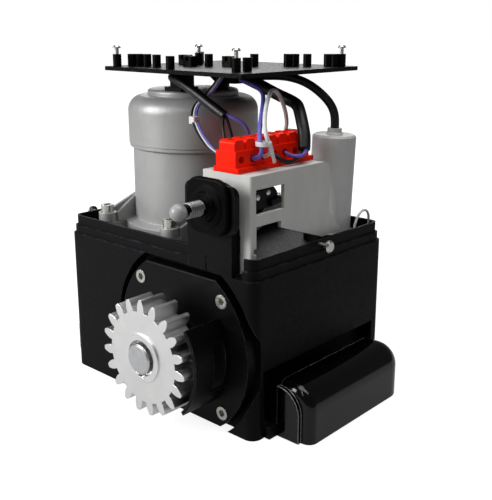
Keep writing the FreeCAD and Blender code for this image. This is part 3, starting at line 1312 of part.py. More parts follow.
def cord_path(label, points):
    """Straight runs joined by tangent arcs, each as large as its two runs allow."""
    corners = [FreeCAD.Vector(*point) for point in points]
    edges = []
    radii = []
    start = corners[0]
    for before, corner, after in zip(corners, corners[1:], corners[2:]):
        back = before - corner
        ahead = after - corner
        reach = 0.45 * min(back.Length, ahead.Length)
        half_turn = (math.pi - back.getAngle(ahead)) / 2
        radius = reach / math.tan(half_turn)
        back.normalize()
        ahead.normalize()
        inward = back + ahead
        inward.normalize()
        first = corner + back * reach
        last = corner + ahead * reach
        middle = corner + inward * (radius / math.cos(half_turn) - radius)
        edges.append(Part.LineSegment(start, first).toShape())
        edges.append(Part.Arc(first, middle, last).toShape())
        radii.append(round(radius, 1))
        start = last
    edges.append(Part.LineSegment(start, corners[-1]).toShape())
    print(f"{label}: arc radii {radii} mm")
    return Part.Wire(edges)


def cord_solid(label, diameter, points):
    """Round tube along a path, checked against its section times its length."""
    path = cord_path(label, points)
    heading = FreeCAD.Vector(*points[1]) - FreeCAD.Vector(*points[0])
    ring = Part.Wire(Part.makeCircle(diameter / 2, FreeCAD.Vector(*points[0]), heading))
    tube = path.makePipeShell([ring], True, False)
    expected = math.pi * diameter ** 2 / 4 * path.Length
    print(f"{label}: {path.Length:.1f} mm long, volume {tube.Volume / expected:.4f} of section times length")
    if not tube.isValid() or abs(tube.Volume / expected - 1) > 0.01:
        raise RuntimeError(f"{label}: the tube is not a clean sweep")
    return tube


def make_cords():
    for label, strands in CORDS.items():
        tubes = [cord_solid(label, diameter, points) for diameter, points in strands]
        new_feature(label, tubes[0] if len(tubes) == 1 else Part.makeCompound(tubes))
    tubes = []
    for strand in (-1, 0, 1):
        shifted = [tuple(value + strand * step for value, step in zip(point, BUNDLE_STEP)) for point in BUNDLE[:-1]]
        end = BUNDLE[-1]
        shifted.append((end[0], end[1] + strand * BUNDLE_STEP[1] * 1.5, end[2]))
        tubes.append(cord_solid("bundle_wires", BUNDLE_DIAMETER, shifted))
    new_feature("bundle_wires", Part.makeCompound(tubes))


def make_cable_ties():
    """Tie round the blue and white wires, with its cut tail, and a clip on the bundle."""
    ties = new_body("cable_ties")
    add(ties, "XY_Plane", "201.5", "204.5", circle("83", "-47.8", "5.4"), circle("83", "-47.8", "4.6"))
    add(ties, "YZ_Plane", "88", "89", outline(("-48.6", "203.5"), ("-46.4", "204.3"), ("-41.4", "190.6"),
                                              ("-43.6", "189.8")))
    add(ties, "XY_Plane", "211.2", "216.2", rounded_rectangle("15.5", "21.5", "-52", "-46", "1.2"))


def build():
    make_housing()
    make_foot_cover("foot_cover_right", 1)
    make_foot_cover("foot_cover_left", -1)
    make_flange()
    make_guard()
    make_flange_bolts()
    make_pinion()
    make_worm_wheel()
    make_worm()
    make_output_shaft()
    make_pinion_key()
    hub_end = f"({FLANGE_SEAT} + flange_hub_depth)"
    make_level_bearing("front_bearing", f"({hub_end} - output_bearing_width)", "output_bearing_radius",
                       "(shaft_radius + fit)", "output_bearing_width")
    make_level_bearing("rear_bearing", "chamber_rear", "output_bearing_radius", "(shaft_radius + fit)",
                       "output_bearing_width")
    make_seal()
    make_casing()
    make_end_cap()
    make_motor_bolts()
    make_stator()
    make_motor_shaft()
    make_rotor()
    make_upright_bearing("lower_bearing", "(plinth_top + 2)", "lower_bearing_radius",
                         "(motor_shaft_radius + fit)", "lower_bearing_width")
    make_upright_bearing("upper_bearing", "(cap_top - 8 - upper_bearing_width)", "upper_bearing_radius",
                         "(rotor_tail_radius + fit)", "upper_bearing_width")
    make_upright_bearing("tail_bearing", "tail_bearing_seat", "tail_bearing_radius",
                         "(worm_shaft_radius + fit)", "tail_bearing_width")
    make_carrier()
    make_carrier_screws()
    make_carrier_supports()
    make_bracket()
    make_switch_plate()
    make_boot()
    make_lever()
    make_microswitch(1, "right")
    make_microswitch(-1, "left")
    make_terminals()
    make_capacitor()
    make_cords()
    make_cable_ties()
    make_rim_screw("rim_screw_right", 1, "rim_screw_right_y")
    make_rim_screw("rim_screw_left", -1, "rim_screw_left_y")


build()
doc.recompute()
for item in doc.Objects:
    if "Invalid" in item.State or "Error" in item.State:
        raise RuntimeError(f"{item.Name} failed: {item.State}")
for label, item in sub_parts.items():
    if item.Shape.isNull() or not item.Shape.isValid():
        raise RuntimeError(f"{label} has no valid shape")
os.makedirs("parts", exist_ok=True)
for label, item in sub_parts.items():
    item.Shape.exportStep(f"parts/{label}.step")
    print(f"{label}: {len(item.Shape.Solids)} solids, {item.Shape.Volume:.0f} mm3")
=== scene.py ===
"""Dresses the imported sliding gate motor: finishes, spring, switch holder, foot webs, wires, light and floor.

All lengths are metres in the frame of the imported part: X along the gate, Y away from the rack, Z up.
"""

import json
import math

import bmesh
import bpy
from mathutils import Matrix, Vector


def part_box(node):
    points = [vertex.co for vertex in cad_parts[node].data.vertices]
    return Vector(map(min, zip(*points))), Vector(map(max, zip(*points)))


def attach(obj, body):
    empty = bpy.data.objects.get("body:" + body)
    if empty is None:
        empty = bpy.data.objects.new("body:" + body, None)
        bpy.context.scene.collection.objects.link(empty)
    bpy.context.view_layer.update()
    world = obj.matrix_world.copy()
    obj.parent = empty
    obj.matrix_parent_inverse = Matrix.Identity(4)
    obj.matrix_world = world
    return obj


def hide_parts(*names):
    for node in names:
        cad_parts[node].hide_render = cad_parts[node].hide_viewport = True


MM = 0.001

# how bright the white surroundings are: 1 is white
AMBIENT = 0.09
REFLECTED_WORLD = 0.04
REFLECTED_FLOOR = 0.27


# ---------------------------------------------------------------- node helpers


def linear(red, green, blue):
    """A colour given as 0-255 display values, as the linear colour that shaders use."""
    return tuple((value / 255) ** 2.2 for value in (red, green, blue)) + (1.0,)


class Finish:
    """A material under construction: its tree, its shader and the detail laid on it."""

    def __init__(self, name, roughness, metallic=0.0, specular=0.5):
        self.material = bpy.data.materials.new(name)
        self.material.use_nodes = True
        self.tree = self.material.node_tree
        self.shader = self.tree.nodes["Principled BSDF"]
        self.constant("Roughness", roughness)
        self.constant("Metallic", metallic)
        self.constant("Specular IOR Level", specular)
        self.place = self.node("ShaderNodeTexCoord").outputs["Object"]

    def constant(self, socket, value):
        self.shader.inputs[socket].default_value = value

    def link(self, output, node_input):
        self.tree.links.new(output, node_input)

    def node(self, kind, **settings):
        made = self.tree.nodes.new(kind)
        for name, value in settings.items():
            setattr(made, name, value)
        return made

    def moved(self, offset=(0, 0, 0), scale=(1, 1, 1)):
        """The object's own coordinates, moved and stretched."""
        mapping = self.node("ShaderNodeMapping")
        mapping.inputs["Location"].default_value = offset
        mapping.inputs["Scale"].default_value = scale
        self.link(self.place, mapping.inputs["Vector"])
        return mapping.outputs["Vector"]

    def noise(self, grain, detail=3.0, roughness=0.55, stretch=(1, 1, 1)):
        """Cloudy noise from 0 to 1 whose lumps are about `grain` metres across."""
        texture = self.node("ShaderNodeTexNoise")
        texture.inputs["Scale"].default_value = 1 / grain
        texture.inputs["Detail"].default_value = detail
        texture.inputs["Roughness"].default_value = roughness
        self.link(self.moved(scale=stretch), texture.inputs["Vector"])
        return texture.outputs["Fac"]

    def pebbles(self, grain):
        """Rounded bumps about `grain` metres apart."""
        texture = self.node("ShaderNodeTexVoronoi", feature="SMOOTH_F1")
        texture.inputs["Scale"].default_value = 1 / grain
        self.link(self.place, texture.inputs["Vector"])
        return texture.outputs["Distance"]

    def math(self, operation, *values):
        """One arithmetic step; each value is a number or an output."""
        step = self.node("ShaderNodeMath", operation=operation)
        for socket, value in zip(step.inputs, values):
            if isinstance(value, (int, float)):
                socket.default_value = value
            else:
                self.link(value, socket)
        return step.outputs[0]

    def ramp(self, value, low, high, to_low=0.0, to_high=1.0):
        """value from low..high brought to to_low..to_high and held there."""
        span = self.node("ShaderNodeMapRange")
        self.link(value, span.inputs["Value"])
        for name, number in (("From Min", low), ("From Max", high), ("To Min", to_low), ("To Max", to_high)):
            span.inputs[name].default_value = number
        return span.outputs["Result"]

    def mix(self, share, first, second):
        """A colour between first and second, each a colour or an output."""
        blend = self.node("ShaderNodeMix", data_type="RGBA")
        self.link(share, blend.inputs["Factor"])
        for socket, colour in ((blend.inputs[6], first), (blend.inputs[7], second)):
            if isinstance(colour, tuple):
                socket.default_value = colour
            else:
                self.link(colour, socket)
        return blend.outputs[2]

    def axis_distance(self, centre, axis):
        """Distance from a line through centre along X, Y or Z."""
        parts = self.node("ShaderNodeSeparateXYZ")
        self.link(self.moved(offset=[-value for value in centre]), parts.inputs["Vector"])
        across = [parts.outputs[name] for name in "XYZ" if name != axis]
        squares = [self.math("MULTIPLY", output, output) for output in across]
        return self.math("SQRT", self.math("ADD", *squares))

    def turning_marks(self, centre, axis, pitch):
        """Fine rings round an axis, broken up by noise, as a lathe tool leaves them."""
        distance = self.axis_distance(centre, axis)
        wander = self.ramp(self.noise(6 * MM), 0, 1, 0, pitch)
        turns = self.math("DIVIDE", self.math("ADD", distance, wander), pitch / (2 * math.pi))
        return self.ramp(self.math("SINE", turns), -1, 1)

    def rounded(self, radius):
        """The surface normal with every sharp edge eased by radius."""
        bevel = self.node("ShaderNodeBevel", samples=4)
        bevel.inputs["Radius"].default_value = radius
        return bevel.outputs["Normal"]

    def edges(self, radius):
        """1 along sharp edges and 0 on open faces."""
        geometry = self.node("ShaderNodeNewGeometry")
        dot = self.node("ShaderNodeVectorMath", operation="DOT_PRODUCT")
        self.link(self.rounded(radius), dot.inputs[0])
        self.link(geometry.outputs["Normal"], dot.inputs[1])
        return self.ramp(dot.outputs["Value"], 0.98, 0.80)

    def bump(self, height, depth, strength=0.5, eased=0.0004):
        """Relief of `depth` metres on top of eased edges."""
        relief = self.node("ShaderNodeBump")
        relief.inputs["Strength"].default_value = strength
        relief.inputs["Distance"].default_value = depth
        self.link(height, relief.inputs["Height"])
        self.link(self.rounded(eased), relief.inputs["Normal"])
        self.link(relief.outputs["Normal"], self.shader.inputs["Normal"])

    def colour(self, output):
        self.link(output, self.shader.inputs["Base Color"])

    def gloss(self, output):
        self.link(output, self.shader.inputs["Roughness"])


# ------------------------------------------------------------------- finishes


def housing_paint():
    """Black stove enamel over a cast tub: finely pebbled, dull, a little paler along its edges, partly as wear
    and partly as painted highlight.
    """
    paint = Finish("housing_paint", roughness=0.5, specular=0.08)
    cloud = paint.noise(30 * MM, detail=4)
    base = paint.mix(cloud, linear(12, 12, 14), linear(20, 20, 22))
    # paler edges: partly wear, partly a painted highlight along the casting's edges
    worn_and_highlit_edges = paint.math("MULTIPLY", paint.edges(0.7 * MM), paint.ramp(paint.noise(5 * MM), 0.45, 0.7))
    paint.colour(paint.mix(worn_and_highlit_edges, base, linear(84, 84, 87)))
    paint.gloss(paint.ramp(paint.noise(2.5 * MM), 0.3, 0.7, 0.42, 0.58))
    pebbles = paint.math("MULTIPLY", paint.pebbles(1.3 * MM), 0.5)
    grain = paint.math("ADD", paint.noise(0.9 * MM, detail=2), pebbles)
    paint.bump(grain, 0.12 * MM, strength=0.55, eased=0.8 * MM)
    return paint.material


def gloss_moulding():
    """Deep black glossy plastic with painted highlights along its edges, a faint ripple and dust-fine
    scratches.
    """
    plastic = Finish("gloss_moulding", roughness=0.12, specular=0.32)
    base = plastic.mix(plastic.noise(25 * MM), linear(5, 5, 6), linear(10, 10, 11))
    # painted highlight: the edges are lightened almost to white in patches, standing in for light caught along
    # them
    highlight_patches = plastic.ramp(plastic.noise(18 * MM), 0.25, 0.45)
    worn_and_highlit_edges = plastic.math("MULTIPLY", plastic.edges(0.8 * MM), highlight_patches)
    plastic.colour(plastic.mix(worn_and_highlit_edges, base, linear(235, 235, 235)))
    haze = plastic.ramp(plastic.noise(7 * MM, detail=5), 0.35, 0.75, 0.07, 0.16)
    streak = plastic.ramp(plastic.noise(1.2 * MM, stretch=(1, 0.05, 1)), 0.62, 0.75, 0, 0.12)
    plastic.gloss(plastic.math("ADD", haze, streak))
    plastic.bump(plastic.noise(6 * MM, detail=1), 0.10 * MM, strength=0.25, eased=1.2 * MM)
    return plastic.material


def flange_paint():
    """Black paint on the machined gear flange, paler on its edges, partly as wear and partly as painted
    highlight.
    """
    paint = Finish("flange_paint", roughness=0.42, specular=0.1)
    base = paint.mix(paint.noise(18 * MM), linear(7, 7, 8), linear(14, 14, 15))
    # paler edges: partly wear, partly a painted highlight along the flange's rim
    worn_and_highlit_edges = paint.math("MULTIPLY", paint.edges(0.6 * MM), paint.ramp(paint.noise(4 * MM), 0.4, 0.65))
    paint.colour(paint.mix(worn_and_highlit_edges, base, linear(105, 105, 105)))
    paint.gloss(paint.ramp(paint.noise(3 * MM), 0.3, 0.7, 0.34, 0.5))
    paint.bump(paint.noise(0.8 * MM), 0.08 * MM, strength=0.5, eased=0.6 * MM)
    return paint.material


def gear_metal(centre):
    """Bright zinc on a hobbed steel gear, with turned faces and a thin film of oil."""
    metal = Finish("gear_metal", roughness=0.34, metallic=1.0)
    rings = metal.turning_marks(centre, "Y", 0.55 * MM)
    film = metal.ramp(metal.noise(14 * MM, detail=3), 0.3, 0.8)
    bright = metal.mix(film, linear(240, 240, 239), linear(228, 228, 228))
    lines = metal.mix(metal.ramp(rings, 0.2, 1, 0, 0.14), bright, linear(170, 170, 172))
    worn = metal.edges(0.5 * MM)
    metal.colour(metal.mix(metal.math("MULTIPLY", worn, 0.7), lines, linear(235, 236, 236)))
    metal.gloss(metal.ramp(metal.noise(1.6 * MM, stretch=(1, 0.25, 1)), 0.25, 0.75, 0.28, 0.42))
    scratches = metal.noise(0.7 * MM, stretch=(1, 0.3, 1))
    height = metal.math("ADD", metal.math("MULTIPLY", rings, 0.35), scratches)
    metal.bump(height, 0.05 * MM, strength=0.5, eased=0.5 * MM)
    return metal.material


def turned_steel(name, tone, centre, axis):
    """Ground or turned steel with rings round its own axis."""
    metal = Finish(name, roughness=0.3, metallic=1.0)
    rings = metal.turning_marks(centre, axis, 0.4 * MM)
    dull = linear(tone - 34, tone - 33, tone - 31)
    metal.colour(metal.mix(metal.noise(5 * MM), linear(tone, tone, tone + 1), dull))
    metal.gloss(metal.ramp(rings, 0, 1, 0.24, 0.4))
    metal.bump(rings, 0.03 * MM, strength=0.35, eased=0.4 * MM)
    return metal.material


def zinc():
    """Bright zinc plating on screws, faintly clouded and yellowed."""
    metal = Finish("zinc", roughness=0.25, metallic=1.0)
    metal.colour(metal.mix(metal.noise(2.2 * MM, detail=5), linear(214, 213, 208), linear(170, 168, 160)))
    metal.gloss(metal.ramp(metal.noise(0.8 * MM), 0.3, 0.7, 0.18, 0.36))
    metal.bump(metal.noise(0.5 * MM), 0.03 * MM, strength=0.4, eased=0.25 * MM)
    return metal.material


def spring_steel():
    """Oiled spring wire, darker than the zinc of the screws."""
    metal = Finish("spring_steel", roughness=0.34, metallic=0.9)
    metal.colour(metal.mix(metal.noise(1.5 * MM, detail=5), linear(150, 150, 150), linear(104, 104, 104)))
    metal.gloss(metal.ramp(metal.noise(0.8 * MM), 0.3, 0.7, 0.28, 0.45))
    metal.bump(metal.noise(0.4 * MM), 0.02 * MM, strength=0.4, eased=0.15 * MM)
    return metal.material


def motor_paint():
    """Light grey satin paint on die-cast aluminium, with the orange peel of spray."""
    paint = Finish("motor_paint", roughness=0.36, metallic=0.3, specular=0.5)
    cloud = paint.ramp(paint.noise(40 * MM, detail=4), 0.3, 0.7)
    base = paint.mix(cloud, linear(164, 164, 163), linear(149, 149, 149))
    speck = paint.ramp(paint.noise(1.1 * MM, detail=5, roughness=0.7), 0.62, 0.72)
    dusty = paint.mix(paint.math("MULTIPLY", speck, 0.3), base, linear(120, 120, 119))
    worn_and_highlit_edges = paint.math("MULTIPLY", paint.edges(0.6 * MM), paint.ramp(paint.noise(3 * MM), 0.4, 0.65))
    paint.colour(paint.mix(worn_and_highlit_edges, dusty, linear(212, 212, 212)))
    paint.gloss(paint.ramp(paint.noise(4 * MM), 0.3, 0.7, 0.34, 0.48))
    paint.bump(paint.noise(1.4 * MM, detail=2), 0.07 * MM, strength=0.35, eased=0.8 * MM)
    return paint.material


def bronze(centre):
    """Turned bronze of the worm wheel."""
    metal = Finish("wheel_bronze", roughness=0.35, metallic=1.0)
    metal.colour(metal.mix(metal.noise(8 * MM, detail=5), linear(205, 160, 92), linear(160, 112, 60)))
    metal.bump(metal.turning_marks(centre, "Y", 0.5 * MM), 0.04 * MM, strength=0.4)
    return metal.material


def sheet_stack():
    """Stacked motor laminations: thin dark lines across the axis."""
    stack = Finish("sheet_stack", roughness=0.5, metallic=0.8)
    layers = stack.noise(0.5 * MM, detail=0, stretch=(0.001, 0.001, 1))
    stack.colour(stack.mix(layers, linear(96, 97, 100), linear(150, 150, 152)))
    stack.bump(layers, 0.1 * MM, strength=0.6)
    return stack.material


def wound_copper(centre):
    """Varnished winding wire, laid round the motor's axis."""
    copper = Finish("wound_copper", roughness=0.3, metallic=0.9)
    strands = copper.turning_marks(centre, "Z", 0.8 * MM)
    copper.colour(copper.mix(strands, linear(122, 60, 34), linear(205, 118, 76)))
    copper.bump(strands, 0.3 * MM, strength=0.8)
    return copper.material


def rubber():
    """Black rubber, dull, with a faint bloom."""
    skin = Finish("rubber_skin", roughness=0.42, specular=0.05)
    bloom = skin.ramp(skin.noise(7 * MM, detail=5), 0.45, 0.8)
    skin.colour(skin.mix(bloom, linear(3, 3, 4), linear(8, 8, 9)))
    skin.constant("Sheen Weight", 0.005)
    skin.constant("Sheen Roughness", 0.5)
    skin.bump(skin.noise(0.9 * MM), 0.08 * MM, strength=0.5, eased=0.5 * MM)
    return skin.material


def pale_moulding():
    """Off-white glass-filled plastic with flow marks and a little light passing through."""
    plastic = Finish("pale_moulding", roughness=0.45, specular=0.4)
    flow = plastic.noise(12 * MM, detail=5, stretch=(1, 1, 0.35))
    plastic.colour(plastic.mix(flow, linear(212, 212, 209), linear(188, 188, 185)))
    plastic.constant("Subsurface Weight", 0.12)
    plastic.constant("Subsurface Scale", 0.004)
    plastic.gloss(plastic.ramp(plastic.noise(2 * MM), 0.3, 0.7, 0.38, 0.52))
    plastic.bump(plastic.noise(0.8 * MM), 0.04 * MM, strength=0.4, eased=0.5 * MM)
    return plastic.material


def satin_black(name, tone, shine):
    """Plain satin black moulding."""
    plastic = Finish(name, roughness=shine, specular=0.1)
    pale = linear(tone + 6, tone + 6, tone + 7)
    plastic.colour(plastic.mix(plastic.noise(9 * MM), linear(tone, tone, tone + 1), pale))
    plastic.gloss(plastic.ramp(plastic.noise(1.5 * MM), 0.3, 0.7, shine - 0.06, shine + 0.08))
    plastic.bump(plastic.noise(0.7 * MM), 0.04 * MM, strength=0.4, eased=0.3 * MM)
    return plastic.material


def grip_grey():
    """Satin grey plastic of the lever's grip ball, a little worn."""
    plastic = Finish("grip_grey", roughness=0.3, specular=0.5)
    worn = plastic.ramp(plastic.noise(2.5 * MM, detail=5), 0.4, 0.75)
    plastic.colour(plastic.mix(worn, linear(146, 146, 146), linear(160, 160, 160)))
    plastic.gloss(plastic.ramp(plastic.noise(1.2 * MM), 0.3, 0.7, 0.24, 0.4))
    plastic.bump(plastic.noise(0.7 * MM), 0.03 * MM, strength=0.4, eased=0.3 * MM)
    return plastic.material


def orange_moulding():
    """Saturated orange-red thermoplastic, slightly waxy."""
    plastic = Finish("orange_moulding", roughness=0.42, specular=0.1)
    tone = plastic.noise(6 * MM, detail=4)
    plastic.colour(plastic.mix(tone, linear(250, 40, 2), linear(238, 30, 1)))
    plastic.constant("Subsurface Weight", 0.05)
    plastic.constant("Subsurface Scale", 0.003)
    plastic.gloss(plastic.ramp(plastic.noise(1.5 * MM), 0.3, 0.7, 0.3, 0.44))
    plastic.bump(plastic.noise(1.0 * MM), 0.04 * MM, strength=0.4, eased=0.35 * MM)
    return plastic.material


def can_plastic():
    """Grey capacitor can, smooth, with faint handling marks along it."""
    plastic = Finish("can_plastic", roughness=0.35, specular=0.45)
    cloud = plastic.noise(20 * MM, detail=5)
    marks = plastic.ramp(plastic.noise(2.2 * MM, stretch=(1, 1, 0.12)), 0.6, 0.75, 0, 0.35)
    base = plastic.mix(cloud, linear(198, 198, 197), linear(180, 181, 180))
    plastic.colour(plastic.mix(marks, base, linear(142, 142, 141)))
    plastic.gloss(plastic.ramp(plastic.noise(3 * MM), 0.3, 0.7, 0.3, 0.45))
    plastic.bump(plastic.noise(1.2 * MM), 0.03 * MM, strength=0.3, eased=0.5 * MM)
    return plastic.material


def sheath(name, first, second):
    """The plastic sheath of a wire in one colour."""
    skin = Finish(name, roughness=0.35, specular=0.35)
    skin.colour(skin.mix(skin.noise(3 * MM, detail=4), linear(*first), linear(*second)))
    skin.gloss(skin.ramp(skin.noise(1.5 * MM), 0.3, 0.7, 0.34, 0.5))
    skin.bump(skin.noise(0.6 * MM), 0.03 * MM, strength=0.4, eased=0.2 * MM)
    return skin.material


# --------------------------------------------------------------- dressed nodes


def middle(node):
    low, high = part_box(node)
    return (low + high) / 2


def dress_nodes(record, nodes):
    """Gives every CAD node the finish of its material slot."""
    gear_axis = middle("pinion")
    motor_axis = middle("motor_shaft")
    finishes = {
        "housing_black": housing_paint(),
        "foot_plastic": gloss_moulding(),
        "flange_grey": flange_paint(),
        "gear_steel": gear_metal(gear_axis),
        "shaft_steel": turned_steel("shaft_steel_turned", 214, gear_axis, "Y"),
        "screw_zinc": zinc(),
        "motor_grey": motor_paint(),
        "bronze": bronze(gear_axis),
        "laminations": sheet_stack(),
        "copper": wound_copper(motor_axis),
        "black_rubber": rubber(),
        "bracket_grey": pale_moulding(),
        "black_plastic": satin_black("satin_black", 4, 0.4),
        "carrier_grey": satin_black("carrier_black", 4, 0.3),
        "terminal_orange": orange_moulding(),
        "capacitor_grey": can_plastic(),
        "ball_grey": grip_grey(),
        "cable_black": sheath("black_sheath", (5, 5, 6), (12, 12, 13)),
        "wire_blue": sheath("blue_sheath", (86, 80, 170), (108, 102, 190)),
        "wire_white": sheath("white_sheath", (222, 222, 222), (196, 196, 196)),
        "tie_white": sheath("tie_nylon", (226, 226, 224), (205, 205, 203)),
    }
    motor_steel = turned_steel("motor_steel_turned", 176, motor_axis, "Z")
    upright = ("motor_shaft", "worm", "lower_bearing", "upper_bearing", "tail_bearing")
    own_finish = dict.fromkeys(upright, motor_steel)
    own_finish["capacitor_gland"] = finishes["capacitor_grey"]
    for part in record["subparts"]:
        node = nodes[part["node"]]
        finish = own_finish.get(part["node"], finishes[part["material_slot"]])
        if not node.material_slots:
            node.data.materials.append(None)
        for place in node.material_slots:
            place.link = "OBJECT"
            place.material = finish
    return finishes


# ---------------------------------------------------------------- made pieces


def placed(name, data, finish):
    """An object made of data, in one finish, in the scene."""
    data.materials.append(finish)
    piece = bpy.data.objects.new(name, data)
    bpy.context.scene.collection.objects.link(piece)
    return piece


def tube(name, points, diameter, finish):
    """A round tube along one smooth open curve, with points as its control points."""
    curve = bpy.data.curves.new(name, "CURVE")
    curve.dimensions = "3D"
    curve.bevel_depth = diameter / 2
    curve.bevel_resolution = 4
    curve.resolution_u = 16
    curve.use_fill_caps = True
    spline = curve.splines.new("NURBS")
    spline.points.add(len(points) - 1)
    for point, place in zip(spline.points, points):
        point.co = (*place, 1.0)
    spline.order_u = 3
    spline.use_endpoint_u = True
    return placed(name, curve, finish)


def coil_spring(finish):
    """The close-wound lever spring: wire turns side by side between the boot and the ball."""
    low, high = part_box("lever_spring")
    centre = (low + high) / 2
    wire = 1.3 * MM
    pitch = 1.08 * wire
    points_per_turn = 20
    reach = (high.x - low.x) / 2 - wire / 2
    lead = high.y - low.y - wire
    steps = int(lead / pitch) * points_per_turn
    points = []
    for step in range(steps + 1):
        angle = 2 * math.pi * step / points_per_turn
        along = high.y - wire / 2 - lead * step / steps
        points.append((centre.x + reach * math.cos(angle), along, centre.z + reach * math.sin(angle)))
    piece = tube("spring_coil", points, wire, finish)
    piece.data.resolution_u = 2
    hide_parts("lever_spring")
    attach(piece, "lever")


def mesh_data(name, mesh):
    """The finished mesh of a bmesh, which is freed."""
    data = bpy.data.meshes.new(name)
    mesh.to_mesh(data)
    mesh.free()
    return data


def outline_block(name, profile, low, high, round_by, finish):
    """A solid with an outline in Y and Z, from low to high in X, with rounded edges, all in millimetres."""
    mesh = bmesh.new()
    near_side = [mesh.verts.new((high * MM, y * MM, z * MM)) for y, z in profile]
    far_side = [mesh.verts.new((low * MM, y * MM, z * MM)) for y, z in profile]
    mesh.faces.new(near_side)
    mesh.faces.new(reversed(far_side))
    count = len(profile)
    for index in range(count):
        after = (index + 1) % count
        mesh.faces.new((near_side[after], near_side[index], far_side[index], far_side[after]))
    bmesh.ops.recalc_face_normals(mesh, faces=mesh.faces)
    edges = list(mesh.edges)
    bmesh.ops.bevel(mesh, geom=edges, offset=round_by * MM, segments=3, profile=0.5, affect="EDGES")
    return placed(name, mesh_data(name, mesh), finish)


def rivet_head(name, place, radius, finish):
    """A low domed rivet head that faces along X; place and radius are in millimetres."""
    dome_height = 0.45
    mesh = bmesh.new()
    bmesh.ops.create_uvsphere(mesh, u_segments=24, v_segments=12, radius=radius * MM)
    bmesh.ops.scale(mesh, vec=(dome_height, 1, 1), verts=mesh.verts)
    bmesh.ops.translate(mesh, vec=[value * MM for value in place], verts=mesh.verts)
    data = mesh_data(name, mesh)
    for face in data.polygons:
        face.use_smooth = True
    return placed(name, data, finish)


def fix_to_frame(piece):
    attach(piece, "frame")


# The forms that only the scene has, in millimetres: outlines in Y and Z, reaches in X.
WEB_OUTLINE = ((-66, 0), (-66, 9), (-40, 9), (-40, 0))
WEB_REACHES = {"foot_web_right": (99, 106), "foot_web_left": (-106, -99)}
WEB_ROUNDING = 1
HOLDER_OUTLINE = ((-62.5, 160), (-62.5, 171.5), (-58, 173.5), (-41, 173.5), (-38, 170), (-38, 164.5),
                  (-43, 160))
HOLDER_REACH = (77.5, 87.5)
HOLDER_ROUNDING = 0.7
LUG_OUTLINE = ((-47, 161), (-47, 165.5), (-36.6, 166.8), (-36.6, 162.6))
LUG_REACH = (80, 90.2)
LUG_ROUNDING = 0.6
RIVETS = ((-58.2, 168.6), (-47.6, 170.6))
RIVET_RADIUS = 2.1


def foot_webs(finishes):
    """The low webs of the casting that close the gap between its foot and each cover."""
    for name, (low, high) in WEB_REACHES.items():
        web = outline_block(name, WEB_OUTLINE, low, high, WEB_ROUNDING, finishes["housing_black"])
        fix_to_frame(web)


def switch_holder(finishes):
    """The black holder between the outer limit switch and the bracket's window, its lug and two rivets."""
    black = finishes["black_plastic"]
    holder = outline_block("switch_holder", HOLDER_OUTLINE, *HOLDER_REACH, HOLDER_ROUNDING, black)
    lug = outline_block("switch_lug", LUG_OUTLINE, *LUG_REACH, LUG_ROUNDING, black)
    fix_to_frame(holder)
    fix_to_frame(lug)
    for index, (y, z) in enumerate(RIVETS):
        place = (HOLDER_REACH[1], y, z)
        rivet = rivet_head(f"switch_rivet_{index}", place, RIVET_RADIUS, finishes["screw_zinc"])
        fix_to_frame(rivet)


